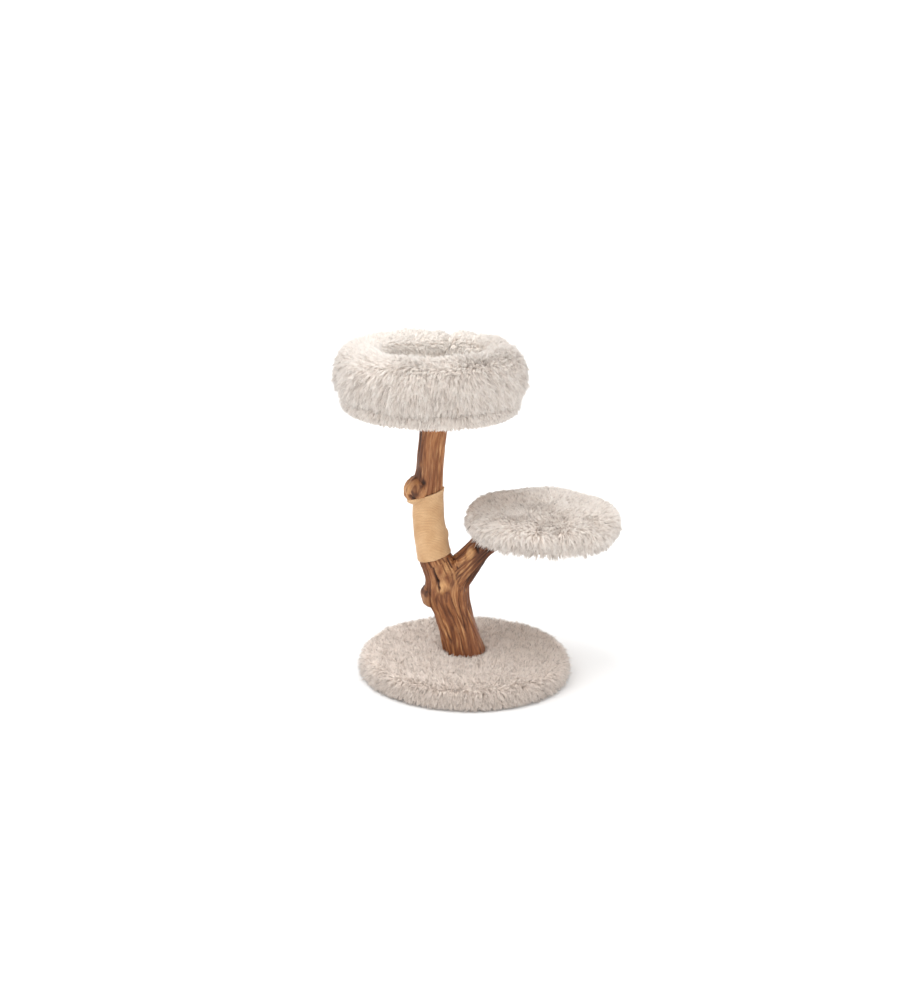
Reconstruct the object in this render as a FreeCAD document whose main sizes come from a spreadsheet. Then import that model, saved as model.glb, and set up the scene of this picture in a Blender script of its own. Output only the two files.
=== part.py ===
"""Cat tree: a round fur-covered base, a forked natural branch with a woven scratch sleeve, a
ring-shaped bed on top of the trunk and a round cushioned perch on the limb.

Millimetres, +Z up. The origin is on the floor under the centre of the base, and -Y is the front.
"""

import FreeCAD
import Part
import Sketcher
import math
import os
import string

# Driving dimensions. Each one becomes a cell of the sheet, with the name as its alias.
SIZES = {
    # base, from the floor up
    "foot_height": 7.0,
    "foot_radius": 15.0,
    "foot_ring": 165.0,
    "middle_foot_radius": 10.0,
    "foot_screw_long": 16.0,
    "foot_screw_sunk": 1.0,
    "foot_pilot_deep": 12.0,
    "lining_thick": 1.5,
    "lining_radius": 193.0,
    "base_radius": 222.0,
    "base_thick": 18.0,
    "base_round": 3.0,
    "padding_thick": 10.0,
    "base_fur_radius": 246.0,
    "base_fur_low": 4.0,
    "base_fur_top": 54.0,
    "base_fur_round": 20.0,
    "hem_wide": 14.0,
    "trunk_gap_radius": 53.0,
    "staple_ring": 215.0,
    "staple_wide": 10.0,
    "staple_wire": 1.0,
    "staple_leg": 8.0,
    # fasteners of the trunk
    "lag_ring": 26.0,
    "lag_radius": 4.0,
    "lag_length": 70.0,
    "lag_head_wide": 6.5,
    "lag_head_thick": 5.5,
    "washer_radius": 11.0,
    "washer_thick": 2.0,
    "counterbore_radius": 12.5,
    "counterbore_deep": 9.0,
    "drill_play": 0.15,
    # top of the trunk, and the bed on it
    "top_level": 650.0,
    "top_board_x": -93.0,
    "top_board_radius": 175.0,
    "board_thick": 15.0,
    "board_round": 2.5,
    "hook_thick": 1.5,
    "hook_radius": 20.0,
    "hook_ring": 125.0,
    "cloth_thick": 3.0,
    "skirt_inside": 176.5,
    "skirt_outside": 204.0,
    "skirt_drop": 14.0,
    "skirt_round": 8.0,
    "bolster_inside": 102.0,
    "bolster_outside": 219.0,
    "bolster_high": 119.0,
    "bolster_round": 50.0,
    "bolster_skin": 20.0,
    "fill_round": 34.0,
    "nest_radius": 100.0,
    "nest_high": 64.0,
    "nest_round": 24.0,
    "nest_skin": 15.0,
    "nest_floor_skin": 4.0,
    "nest_foam_round": 2.0,
    "foam_round": 10.0,
    # limb and perch
    "perch_level": 345.0,
    "perch_x": 172.0,
    "perch_board_radius": 150.0,
    "perch_hook_ring": 95.0,
    "perch_fur_radius": 184.0,
    "perch_fur_low": 342.0,
    "perch_fur_high": 84.0,
    "perch_fur_round": 38.0,
    "perch_skirt_inside": 151.5,
    "perch_foam_radius": 147.0,
    "perch_foam_high": 30.0,
    # board screws
    "screw_radius": 2.5,
    "screw_head_radius": 5.0,
    "screw_head_thick": 3.0,
    "screw_long": 60.0,
    "screw_short": 34.0,
    "screw_tip": 6.0,
    "screw_point": 0.4,
    "screw_sunk": 0.3,
    "pilot_spare": 1.0,
    "top_screw_ring": 18.0,
    "top_screw_x": -85.0,
    "perch_screw_ring": 16.0,
    "perch_screw_x": 73.0,
    # scratch sleeve
    "sleeve_gap": 0.4,
    "sleeve_thick": 2.4,
    "seam_low": 312.0,
    "seam_pitch": 23.0,
    "seam_staple_sunk": 0.4,
    # a hair's breadth between soft pieces that lie against each other
    "soft_gap": 0.3,
}

LAG_COUNT = 4
FOOT_COUNT = 6
HOOK_COUNT = 4
SCREW_COUNT = 3
BASE_STAPLE_COUNT = 24
SLEEVE_STAPLE_COUNT = 6

# The trunk's level round sections, from the base board up: height, centre x, centre y, radius. Each
# number goes to the sheet under a name such as stem_a_height.
TRUNK = [
    (26.5, 1.5, 0.0, 50.5),
    (56.0, -1.0, 0.0, 49.5),
    (98.0, -12.0, 1.0, 47.0),
    (140.0, -26.0, 2.0, 46.5),
    (185.0, -40.0, 3.0, 47.5),
    (225.0, -50.0, 3.0, 47.5),
    (262.0, -64.0, 2.0, 44.5),
    (296.0, -78.5, 0.0, 37.5),
    (325.0, -84.0, 0.0, 36.0),
    (369.0, -91.5, 1.0, 34.0),
    (410.0, -94.0, 2.0, 32.5),
    (455.0, -93.0, 3.0, 31.0),
    (500.0, -92.0, 2.0, 30.5),
    (545.0, -89.0, 1.0, 31.0),
    (595.0, -86.0, 0.0, 32.0),
    (650.0, -85.0, 0.0, 34.0),
]

# The limb's sections, square to its own line: height, centre x, centre y, radius, and lean from
# upright in degrees. They go to the sheet as limb_a_height and so on.
LIMB = [
    (205.0, -48.0, 0.0, 36.0, 15.0),
    (243.0, -21.0, 0.0, 33.5, 33.0),
    (286.0, 11.0, -2.0, 30.5, 38.0),
    (317.0, 36.0, -3.0, 28.5, 48.0),
    (338.0, 70.0, -2.0, 27.5, 65.0),
    (350.0, 106.0, 0.0, 24.0, 78.0),
]

# Rounded lumps where side branches were sawn off or healed over: centre x, y, z and the three half
# sizes. They go to the sheet as stub_x to stub_half_z and so on.
LUMPS = {
    "stub": (-122.0, -8.0, 446.0, 30.0, 27.0, 30.0),
    "burr": (-81.0, -8.0, 197.0, 20.0, 20.0, 27.0),
    "swell": (-65.0, 0.0, 338.0, 16.5, 18.0, 22.0),
}

# The sleeve's two ends are planes that slope up to the right: x and z of a point, slope in degrees.
SLEEVE_LOW = (-76.0, 289.0, 18.0)
SLEEVE_HIGH = (-95.5, 441.0, 17.5)

# Tool bodies that only take material away: the half-width of a block larger than the trunk, and the
# block above the perch board's seat on the limb.
BLOCK_HALF = 400.0
SEAT_BLOCK = {"x": -20.0, "length": 200.0, "width": 120.0, "height": 60.0}


def name_sections(prefix, table):
    """Adds a table of sections to the driving dimensions, and gives the four names of each section."""
    names = []
    for letter, row in zip(string.ascii_lowercase, table):
        words = [f"{prefix}_{letter}_{what}" for what in ("height", "x", "y", "radius")]
        SIZES.update(zip(words, row))
        names.append(words)
    return names


STEM_NAMES = name_sections("stem", TRUNK)
LIMB_NAMES = name_sections("limb", LIMB)
LUMP_ENDS = ("_x", "_y", "_z", "_half_x", "_half_y", "_half_z")
for lump_name, numbers in LUMPS.items():
    SIZES.update(zip([lump_name + end for end in LUMP_ENDS], numbers))


# ---------------------------------------------------------------- the sheet and its expressions


def value(expression):
    """The number that a sum of cell names and plain numbers, some halved, stands for."""
    total, sign, last = 0.0, 1.0, 0.0
    for word in expression.replace("/ 2", "/2").split():
        if word in ("+", "-"):
            sign = 1.0 if word == "+" else -1.0
        elif word == "/2":
            total -= last / 2
        else:
            last = sign * (SIZES[word] if word in SIZES else float(word))
            total += last
    return total


def bound(expression):
    """The same sum as an expression on the sheet's cells."""
    return " ".join("Dimensions." + word if word in SIZES else word for word in expression.split())


def fill_sheet(doc):
    """Writes each driving dimension to a cell of its own, with its name as the alias."""
    sheet = doc.addObject("Spreadsheet::Sheet", "Dimensions")
    for row, (name, number) in enumerate(SIZES.items(), start=1):
        sheet.set(f"A{row}", name)
        sheet.set(f"B{row}", str(number))
        sheet.setAlias(f"B{row}", name)
    doc.recompute()
    return sheet


def bind(thing, path, expression):
    """Binds a property of a document object to the sheet."""
    thing.setExpression(path, bound(expression))


# ---------------------------------------------------------------- sketches


def new_body(doc, label, x="0", y="0"):
    """A body whose own Z axis stands at x, y."""
    body = doc.addObject("PartDesign::Body", label)
    body.Label = label
    body.Placement.Base = FreeCAD.Vector(value(x), value(y), 0)
    bind(body, ".Placement.Base.x", x)
    bind(body, ".Placement.Base.y", y)
    return body


def new_sketch(body, name, plane, level="0", x="0"):
    """A sketch on one of the body's origin planes, moved to x and level on a plane square to Z."""
    sketch = body.newObject("Sketcher::SketchObject", name)
    face = next(f for f in body.Origin.OriginFeatures if f.Role == plane)
    sketch.AttachmentSupport = [(face, "")]
    sketch.MapMode = "FlatFace"
    if plane == "XY_Plane":
        sketch.AttachmentOffset = FreeCAD.Placement(
            FreeCAD.Vector(value(x), 0, value(level)), FreeCAD.Rotation()
        )
        bind(sketch, ".AttachmentOffset.Base.x", x)
        bind(sketch, ".AttachmentOffset.Base.z", level)
    return sketch


def dimension(sketch, kind, places, expression, name):
    """A dimension that the sheet drives."""
    sketch.addConstraint(Sketcher.Constraint(kind, *places, value(expression)))
    sketch.renameConstraint(sketch.ConstraintCount - 1, name)
    bind(sketch, "Constraints." + name, expression)


def circle(sketch, radius, x="0", name="ring"):
    """A circle with its centre on the sketch's own X axis."""
    centre = FreeCAD.Vector(value(x), 0, 0)
    index = sketch.addGeometry(Part.Circle(centre, FreeCAD.Vector(0, 0, 1), value(radius)), False)
    if x == "0":
        sketch.addConstraint(Sketcher.Constraint("Coincident", index, 3, -1, 1))
    else:
        sketch.addConstraint(Sketcher.Constraint("PointOnObject", index, 3, -1))
        dimension(sketch, "DistanceX", (-1, 1, index, 3), x, name + "_x")
    dimension(sketch, "Radius", (index,), radius, name + "_radius")
    return index


def box_profile(sketch, inside, outside, low, high):
    """A rectangle between two radii and two levels, its sides tied to the sheet."""
    left, right, bottom, top = value(inside), value(outside), value(low), value(high)
    corners = [(left, bottom), (right, bottom), (right, top), (left, top)]
    points = [FreeCAD.Vector(u, v, 0) for u, v in corners]
    for i in range(4):
        sketch.addGeometry(Part.LineSegment(points[i], points[(i + 1) % 4]), False)
    for i in range(4):
        sketch.addConstraint(Sketcher.Constraint("Coincident", i, 2, (i + 1) % 4, 1))
    for i, way in enumerate(("Horizontal", "Vertical", "Horizontal", "Vertical")):
        sketch.addConstraint(Sketcher.Constraint(way, i))
    if left == 0:
        sketch.addConstraint(Sketcher.Constraint("PointOnObject", 0, 1, -2))
    else:
        dimension(sketch, "DistanceX", (-1, 1, 0, 1), inside, "inside")
    dimension(sketch, "DistanceX", (-1, 1, 0, 2), outside, "outside")
    dimension(sketch, "DistanceY", (-1, 1, 0, 1), low, "low")
    dimension(sketch, "DistanceY", (-1, 1, 2, 1), high, "high")


def soft_profile(sketch, inside, outside, low, high, radius):
    """A rectangle with four rounded corners of one radius, its sides and corners tied to the sheet."""
    left, right, bottom, top, bend = (value(e) for e in (inside, outside, low, high, radius))
    half_pi = math.pi / 2
    # each corner: the arc's centre and the angle where it starts
    corners = [
        (right - bend, bottom + bend, -half_pi),
        (right - bend, top - bend, 0.0),
        (left + bend, top - bend, half_pi),
        (left + bend, bottom + bend, math.pi),
    ]
    arcs = []
    for u, v, start in corners:
        ring = Part.Circle(FreeCAD.Vector(u, v, 0), FreeCAD.Vector(0, 0, 1), bend)
        arcs.append(sketch.addGeometry(Part.ArcOfCircle(ring, start, start + half_pi), False))
    ends = []
    for u, v, start in corners:
        stop = start + half_pi
        ends.append(
            (
                FreeCAD.Vector(u + bend * math.cos(start), v + bend * math.sin(start), 0),
                FreeCAD.Vector(u + bend * math.cos(stop), v + bend * math.sin(stop), 0),
            )
        )
    lines = []
    for i in range(4):
        following = (i + 1) % 4
        lines.append(sketch.addGeometry(Part.LineSegment(ends[i][1], ends[following][0]), False))
    for i in range(4):
        following = (i + 1) % 4
        sketch.addConstraint(Sketcher.Constraint("Tangent", arcs[i], 2, lines[i], 1))
        sketch.addConstraint(Sketcher.Constraint("Tangent", lines[i], 2, arcs[following], 1))
        if i:
            sketch.addConstraint(Sketcher.Constraint("Equal", arcs[0], arcs[i]))
    sketch.addConstraint(Sketcher.Constraint("Vertical", lines[0]))
    sketch.addConstraint(Sketcher.Constraint("Horizontal", lines[1]))
    dimension(sketch, "Radius", (arcs[0],), radius, "bend")
    dimension(sketch, "DistanceX", (-1, 1, lines[0], 1), outside, "outside")
    dimension(sketch, "DistanceX", (-1, 1, lines[2], 1), inside, "inside")
    dimension(sketch, "DistanceY", (-1, 1, lines[1], 1), high, "high")
    dimension(sketch, "DistanceY", (-1, 1, lines[3], 1), low, "low")


# ---------------------------------------------------------------- features


def pad(body, sketch, length, reverse=False):
    feature = body.newObject("PartDesign::Pad", sketch.Name + "_pad")
    feature.Profile = sketch
    feature.Length = value(length)
    feature.Reversed = reverse
    bind(feature, "Length", length)
    return feature


def pocket(body, sketch, depth, upward=False):
    feature = body.newObject("PartDesign::Pocket", sketch.Name + "_pocket")
    feature.Profile = sketch
    feature.Length = value(depth)
    feature.Reversed = upward
    bind(feature, "Length", depth)
    return feature


def turn(body, sketch, kind="PartDesign::Revolution"):
    """Turns a profile full circle about the body's Z axis: a Revolution adds, a Groove takes away."""
    feature = body.newObject(kind, sketch.Name + "_turn")
    feature.Profile = sketch
    feature.ReferenceAxis = (sketch, ["V_Axis"])
    feature.Angle = 360
    return feature


def around(body, features, axis, count):
    """Repeats features evenly about an axis."""
    pattern = body.newObject("PartDesign::PolarPattern", features[0].Name + "_ring")
    pattern.Originals = features
    pattern.Axis = axis
    pattern.Angle = 360
    pattern.Occurrences = count
    body.Tip = pattern
    return pattern


def ring_of_holes(doc, body, name, level, ring, radius, depth, count, upward=False, x="0"):
    """Round holes on a circle about x, drilled from a level."""
    volume = body.Shape.Volume
    sketch = new_sketch(body, name, "XY_Plane", level, x)
    circle(sketch, radius, ring)
    hole = pocket(body, sketch, depth, upward)
    if count > 1:
        around(body, [hole], (sketch, ["N_Axis"]), count)
    doc.recompute()
    if not body.Shape.Volume < volume - 1.0:
        raise RuntimeError(name + " cuts nothing")


def round_edges(doc, body, radius, size, levels):
    """Rounds the circular edges of a given size that lie at the given levels."""
    doc.recompute()
    base = body.Tip
    names = []
    for i, edge in enumerate(base.Shape.Edges, start=1):
        if not isinstance(edge.Curve, Part.Circle) or abs(edge.Curve.Radius - value(size)) > 0.01:
            continue
        if any(abs(edge.CenterOfMass.z - value(level)) < 0.01 for level in levels):
            names.append(f"Edge{i}")
    feature = body.newObject("PartDesign::Fillet", body.Name + "_round")
    feature.Base = (base, names)
    feature.Radius = value(radius)
    bind(feature, "Radius", radius)
    doc.recompute()
    return feature


def revolved(doc, label, x, profile, *sizes):
    """A body made by turning one profile about its own axis."""
    body = new_body(doc, label, x)
    sketch = new_sketch(body, label + "_profile", "XZ_Plane")
    profile(sketch, *sizes)
    turn(body, sketch)
    doc.recompute()
    return body


def hollow(doc, body, name, profile, *sizes):
    """Takes a turned space out of a body."""
    volume = body.Shape.Volume
    sketch = new_sketch(body, name, "XZ_Plane")
    profile(sketch, *sizes)
    turn(body, sketch, "PartDesign::Groove")
    doc.recompute()
    if not body.Shape.Volume < volume - 1.0:
        raise RuntimeError(name + " cuts nothing")


def disc(doc, label, x, radius, low, thick, corner=None):
    """A round plate, with its rim rounded if corner is given."""
    body = new_body(doc, label, x)
    sketch = new_sketch(body, label + "_outline", "XY_Plane", low)
    circle(sketch, radius)
    pad(body, sketch, thick)
    doc.recompute()
    if corner:
        round_edges(doc, body, corner, radius, [low, low + " + " + thick])
    return body


# ---------------------------------------------------------------- base

BASE_LOW = "foot_height + lining_thick"
BASE_TOP = BASE_LOW + " + base_thick"
PADDING_TOP = BASE_TOP + " + padding_thick"


def make_base_board(doc):
    """The base plate, with counterbored holes for the trunk's screws and pilot holes for the feet."""
    body = disc(doc, "base_board", "0", "base_radius", BASE_LOW, "base_thick", "base_round")
    ring_of_holes(
        doc, body, "counterbores", BASE_LOW, "lag_ring", "counterbore_radius",
        "counterbore_deep", LAG_COUNT, upward=True,
    )
    ring_of_holes(
        doc, body, "lag_holes", BASE_LOW, "lag_ring", "lag_radius + drill_play",
        "base_thick", LAG_COUNT, upward=True,
    )
    for name, ring, count in (("foot_pilots", "foot_ring", FOOT_COUNT), ("middle_pilot", "0", 1)):
        ring_of_holes(
            doc, body, name, BASE_LOW, ring, "screw_radius + drill_play", "foot_pilot_deep",
            count, upward=True,
        )


def make_base_padding(doc):
    """A foam ring on the base plate, open round the trunk."""
    revolved(
        doc, "base_padding", "0", box_profile,
        "trunk_gap_radius", "base_radius", BASE_TOP, PADDING_TOP,
    )


def make_base_cover(doc):
    """The fur cover over plate and padding, its hem turned under the rim."""
    body = revolved(
        doc, "base_cover", "0", box_profile,
        "trunk_gap_radius", "base_fur_radius", "base_fur_low", "base_fur_top",
    )
    round_edges(doc, body, "base_fur_round", "base_fur_radius", ["base_fur_low", "base_fur_top"])
    hollow(
        doc, body, "base_cover_inside", box_profile,
        "0", "base_radius + soft_gap", BASE_LOW, PADDING_TOP + " + soft_gap",
    )
    hollow(
        doc, body, "base_cover_mouth", box_profile,
        "0", "base_radius - hem_wide", "0", BASE_LOW + " + soft_gap",
    )


def make_base_lining(doc):
    """The cloth disc under the base plate, cut out over the screw heads."""
    body = disc(doc, "base_lining", "0", "lining_radius", "foot_height", "lining_thick")
    ring_of_holes(
        doc, body, "lining_lag_holes", "foot_height", "lag_ring", "counterbore_radius",
        "lining_thick", LAG_COUNT, upward=True,
    )
    for name, ring, count in (("lining_foot_holes", "foot_ring", FOOT_COUNT), ("lining_middle", "0", 1)):
        ring_of_holes(
            doc, body, name, "foot_height", ring, "screw_radius + drill_play",
            "lining_thick", count, upward=True,
        )


def make_feet(doc):
    """Six rubber feet on a circle and one in the middle, each with a countersunk hole."""
    body = new_body(doc, "base_feet")
    outline = new_sketch(body, "foot_outline", "XY_Plane", "0")
    circle(outline, "foot_radius", "foot_ring")
    foot = pad(body, outline, "foot_height")
    around(body, [foot], (outline, ["N_Axis"]), FOOT_COUNT)
    doc.recompute()
    middle = new_sketch(body, "middle_foot_outline", "XY_Plane", "0")
    circle(middle, "middle_foot_radius")
    pad(body, middle, "foot_height")
    doc.recompute()
    for name, ring, count in (("foot_bores", "foot_ring", FOOT_COUNT), ("middle_bore", "0", 1)):
        ring_of_holes(
            doc, body, name, "0", ring, "screw_radius + drill_play", "foot_height", count, upward=True
        )
        ring_of_holes(
            doc, body, name + "_heads", "0", ring, "screw_head_radius + drill_play",
            "screw_head_thick + foot_screw_sunk", count, upward=True,
        )


def wood_screw(body, x, low, length, head_down=False):
    """A countersunk screw: shank, pointed tip and conical head, as three added primitives."""
    shank_radius, head_radius = "screw_radius", "screw_head_radius"
    bare = length + " - screw_tip - screw_head_thick"
    if head_down:
        levels = (low, low + " + screw_head_thick", low + " + " + length + " - screw_tip")
        cones = (("head", levels[0], head_radius, shank_radius, "screw_head_thick"),
                 ("tip", levels[2], shank_radius, "screw_point", "screw_tip"))
    else:
        levels = (low, low + " + screw_tip", low + " + " + length + " - screw_head_thick")
        cones = (("tip", levels[0], "screw_point", shank_radius, "screw_tip"),
                 ("head", levels[2], shank_radius, head_radius, "screw_head_thick"))
    shank = body.newObject("PartDesign::AdditiveCylinder", body.Name + "_shank")
    made = [shank]
    shank.Radius, shank.Height = value(shank_radius), value(bare)
    bind(shank, "Radius", shank_radius)
    bind(shank, "Height", bare)
    shank.Placement.Base = FreeCAD.Vector(value(x), 0, value(levels[1]))
    bind(shank, ".Placement.Base.x", x)
    bind(shank, ".Placement.Base.z", levels[1])
    for name, level, below, above, high in cones:
        cone = body.newObject("PartDesign::AdditiveCone", body.Name + "_" + name)
        cone.Radius1, cone.Radius2, cone.Height = value(below), value(above), value(high)
        bind(cone, "Radius1", below)
        bind(cone, "Radius2", above)
        bind(cone, "Height", high)
        cone.Placement.Base = FreeCAD.Vector(value(x), 0, value(level))
        bind(cone, ".Placement.Base.x", x)
        bind(cone, ".Placement.Base.z", level)
        made.append(cone)
    return made


def z_axis(body):
    return (next(f for f in body.Origin.OriginFeatures if f.Role == "Z_Axis"), [""])


def make_foot_screws(doc):
    """The screws of the feet: one ring of six and one in the middle."""
    body = new_body(doc, "foot_screws")
    parts = wood_screw(body, "foot_ring", "foot_screw_sunk", "foot_screw_long", head_down=True)
    around(body, parts, z_axis(body), FOOT_COUNT)
    doc.recompute()
    wood_screw(body, "0", "foot_screw_sunk", "foot_screw_long", head_down=True)


def bar(body, name, corner, sizes):
    """A straight bar along the axes, from its low corner."""
    feature = body.newObject("PartDesign::AdditiveBox", name)
    for path, expression in zip(("Length", "Width", "Height"), sizes):
        setattr(feature, path, value(expression))
        bind(feature, path, expression)
    feature.Placement.Base = FreeCAD.Vector(*(value(e) for e in corner))
    for path, expression in zip("xyz", corner):
        bind(feature, ".Placement.Base." + path, expression)
    return feature


def make_base_staples(doc):
    """Staples through the cover's hem into the underside of the base plate."""
    body = new_body(doc, "base_staples")
    low = "base_fur_low"
    wire = "staple_wire"
    left = "0 - staple_wide / 2"
    right = "staple_wide / 2 - staple_wire"
    bars = [bar(body, "crown", ("staple_ring", left, low), (wire, "staple_wide", wire))]
    for side, y in (("left", left), ("right", right)):
        bars.append(bar(body, side + "_leg", ("staple_ring", y, low), (wire, wire, "staple_leg")))
    around(body, bars, z_axis(body), BASE_STAPLE_COUNT)


# ---------------------------------------------------------------- trunk


def section(body, name, words, lean=0.0, grow="0"):
    """A round section from four names of the sheet, leaning towards +X and larger by grow."""
    height, x, y, radius = words
    sketch = body.newObject("Sketcher::SketchObject", name)
    face = next(f for f in body.Origin.OriginFeatures if f.Role == "XY_Plane")
    sketch.AttachmentSupport = [(face, "")]
    sketch.MapMode = "FlatFace"
    sketch.AttachmentOffset = FreeCAD.Placement(
        FreeCAD.Vector(value(x), value(y), value(height)),
        FreeCAD.Rotation(FreeCAD.Vector(0, 1, 0), lean),
    )
    for path, expression in zip("xyz", (x, y, height)):
        bind(sketch, ".AttachmentOffset.Base." + path, expression)
    circle(sketch, radius + " + " + grow)
    return sketch


def loft(body, name, sections, kind="PartDesign::AdditiveLoft"):
    feature = body.newObject(kind, name)
    feature.Profile = sections[0]
    feature.Sections = sections[1:]
    return feature


def lump(body, name, grow="0", kind="PartDesign::AdditiveEllipsoid"):
    """One of the trunk's lumps, larger all round by grow. An ellipsoid's Radius1 is its upright one."""
    feature = body.newObject(kind, body.Name + "_" + name)
    for path, half in (("Radius1", "_half_z"), ("Radius2", "_half_x"), ("Radius3", "_half_y")):
        expression = name + half + " + " + grow
        setattr(feature, path, value(expression))
        bind(feature, path, expression)
    place = [name + "_" + axis for axis in "xyz"]
    feature.Placement.Base = FreeCAD.Vector(*(value(e) for e in place))
    for path, expression in zip("xyz", place):
        bind(feature, ".Placement.Base." + path, expression)
    return feature


def cut_away(body, name, x, z, slope, above):
    """Takes away everything above or below a plane that slopes up to the right."""
    turned = FreeCAD.Rotation(FreeCAD.Vector(0, 1, 0), -slope)
    corner = FreeCAD.Vector(-BLOCK_HALF, -BLOCK_HALF, 0.0 if above else -2 * BLOCK_HALF)
    feature = body.newObject("PartDesign::SubtractiveBox", name)
    feature.Length = feature.Width = feature.Height = 2 * BLOCK_HALF
    feature.Placement = FreeCAD.Placement(FreeCAD.Vector(x, 0, z) + turned.multVec(corner), turned)
    return feature


def make_trunk(doc):
    """The forked branch: a lofted stem and limb, three lumps, and the pilot holes of its screws."""
    body = new_body(doc, "trunk")
    loft(body, "stem", [section(body, "ring_" + words[0], words) for words in STEM_NAMES])
    doc.recompute()
    leans = [row[-1] for row in LIMB]
    rings = [section(body, "ring_" + words[0], words, lean) for words, lean in zip(LIMB_NAMES, leans)]
    loft(body, "limb", rings)
    doc.recompute()
    for name in LUMPS:
        lump(body, name)
    doc.recompute()
    # the limb's upper side is sawn level where the perch board lies on it
    seat = body.newObject("PartDesign::SubtractiveBox", "perch_seat")
    seat.Length, seat.Width, seat.Height = (SEAT_BLOCK[k] for k in ("length", "width", "height"))
    corner = FreeCAD.Vector(SEAT_BLOCK["x"], -SEAT_BLOCK["width"] / 2, value("perch_level"))
    seat.Placement.Base = corner
    bind(seat, ".Placement.Base.z", "perch_level")
    doc.recompute()
    ring_of_holes(
        doc, body, "lag_pilots", BASE_TOP, "lag_ring", "lag_radius + drill_play",
        "lag_length - base_thick + counterbore_deep", LAG_COUNT, upward=True,
    )
    ring_of_holes(
        doc, body, "top_pilots", "top_level", "top_screw_ring", "screw_radius + drill_play",
        "screw_long - board_thick + pilot_spare", SCREW_COUNT, x="top_screw_x",
    )
    ring_of_holes(
        doc, body, "perch_pilots", "perch_level", "0 - perch_screw_ring", "screw_radius + drill_play",
        "screw_short - board_thick + pilot_spare", SCREW_COUNT, x="perch_screw_x",
    )


def make_lag_screws(doc):
    """Hexagon-head screws up through the base plate into the trunk, each on a washer."""
    head_low = BASE_LOW + " + counterbore_deep - washer_thick - lag_head_thick"
    body = new_body(doc, "trunk_lag_screws")
    head = new_sketch(body, "lag_head", "XY_Plane", head_low)
    centre = value("lag_ring")
    corners = [
        FreeCAD.Vector(
            centre + value("lag_head_wide") * math.cos(math.radians(60 * i)),
            value("lag_head_wide") * math.sin(math.radians(60 * i)),
            0,
        )
        for i in range(6)
    ]
    for i in range(6):
        head.addGeometry(Part.LineSegment(corners[i], corners[(i + 1) % 6]), False)
    for i in range(6):
        head.addConstraint(Sketcher.Constraint("Coincident", i, 2, (i + 1) % 6, 1))
    head_pad = pad(body, head, "lag_head_thick")
    shank = new_sketch(body, "lag_shank", "XY_Plane", head_low + " + lag_head_thick")
    circle(shank, "lag_radius", "lag_ring")
    shank_pad = pad(body, shank, "lag_length")
    around(body, [head_pad, shank_pad], (head, ["N_Axis"]), LAG_COUNT)
    doc.recompute()

    washer_low = BASE_LOW + " + counterbore_deep - washer_thick"
    washers = new_body(doc, "trunk_washers")
    plate = new_sketch(washers, "washer_outline", "XY_Plane", washer_low)
    circle(plate, "washer_radius", "lag_ring", "rim")
    circle(plate, "lag_radius + drill_play", "lag_ring", "eye")
    around(washers, [pad(washers, plate, "washer_thick")], (plate, ["N_Axis"]), LAG_COUNT)


def make_sleeve(doc):
    """The woven sleeve: a thin jacket that follows the trunk and its lumps between two sloping ends."""
    body = new_body(doc, "scratch_sleeve")
    # every section of the trunk takes part, so that the jacket has the trunk's own curve
    for side, grow, kind in (
        ("outer", "sleeve_gap + sleeve_thick", "Additive"),
        ("inner", "sleeve_gap", "Subtractive"),
    ):
        rings = [section(body, f"{side}_{words[0]}", words, grow=grow) for words in STEM_NAMES]
        loft(body, side + "_jacket", rings, f"PartDesign::{kind}Loft")
        doc.recompute()
        for name in ("stub", "swell"):
            lump(body, name, grow, f"PartDesign::{kind}Ellipsoid")
        doc.recompute()
    cut_away(body, "sleeve_low_end", *SLEEVE_LOW, above=False)
    cut_away(body, "sleeve_high_end", *SLEEVE_HIGH, above=True)
    doc.recompute()


def trunk_at(height):
    """Centre x, centre y and radius of the trunk at a height, between its sections."""
    for (z0, *low), (z1, *high) in zip(TRUNK, TRUNK[1:]):
        if z0 <= height <= z1:
            share = (height - z0) / (z1 - z0)
            return [a + share * (b - a) for a, b in zip(low, high)]
    raise ValueError("height is off the trunk")


def make_sleeve_staples(doc):
    """Staples down the sleeve's back seam, their crowns level on the cloth and their legs in the wood."""
    body = new_body(doc, "sleeve_staples")
    wide, wire, leg = value("staple_wide"), value("staple_wire"), "staple_leg"
    for i in range(SLEEVE_STAPLE_COUNT):
        height = value("seam_low") + i * value("seam_pitch")
        x, y, radius = trunk_at(height)
        crown_y = y + radius + value("sleeve_gap + sleeve_thick - seam_staple_sunk")
        leg_y = crown_y + wire - value(leg)
        left = x - wide / 2
        bar(body, f"crown_{i}", (str(left), str(crown_y), str(height)),
            ("staple_wide", "staple_wire", "staple_wire"))
        for side in (left, left + wide - wire):
            bar(body, f"leg_{i}", (str(side), str(leg_y), str(height)),
                ("staple_wire", leg, "staple_wire"))
    doc.recompute()


# ---------------------------------------------------------------- boards and hook pads


def make_platform(doc, label, x, radius, level, screw_x, screw_ring, screw_length):
    """A round board with countersunk screw holes, and the screws in them."""
    board = disc(doc, label + "_board", x, radius, level, "board_thick", "board_round")
    top = level + " + board_thick"
    offset = screw_x + " - " + x
    ring_of_holes(
        doc, board, label + "_screw_holes", level, screw_ring, "screw_radius + drill_play",
        "board_thick", SCREW_COUNT, upward=True, x=offset,
    )
    ring_of_holes(
        doc, board, label + "_countersinks", top, screw_ring, "screw_head_radius + drill_play",
        "screw_head_thick + screw_sunk", SCREW_COUNT, x=offset,
    )
    screws = new_body(doc, label + "_screws", screw_x)
    parts = wood_screw(
        screws, screw_ring, top + " - " + screw_length + " - screw_sunk", screw_length
    )
    around(screws, parts, z_axis(screws), SCREW_COUNT)
    doc.recompute()


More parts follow.
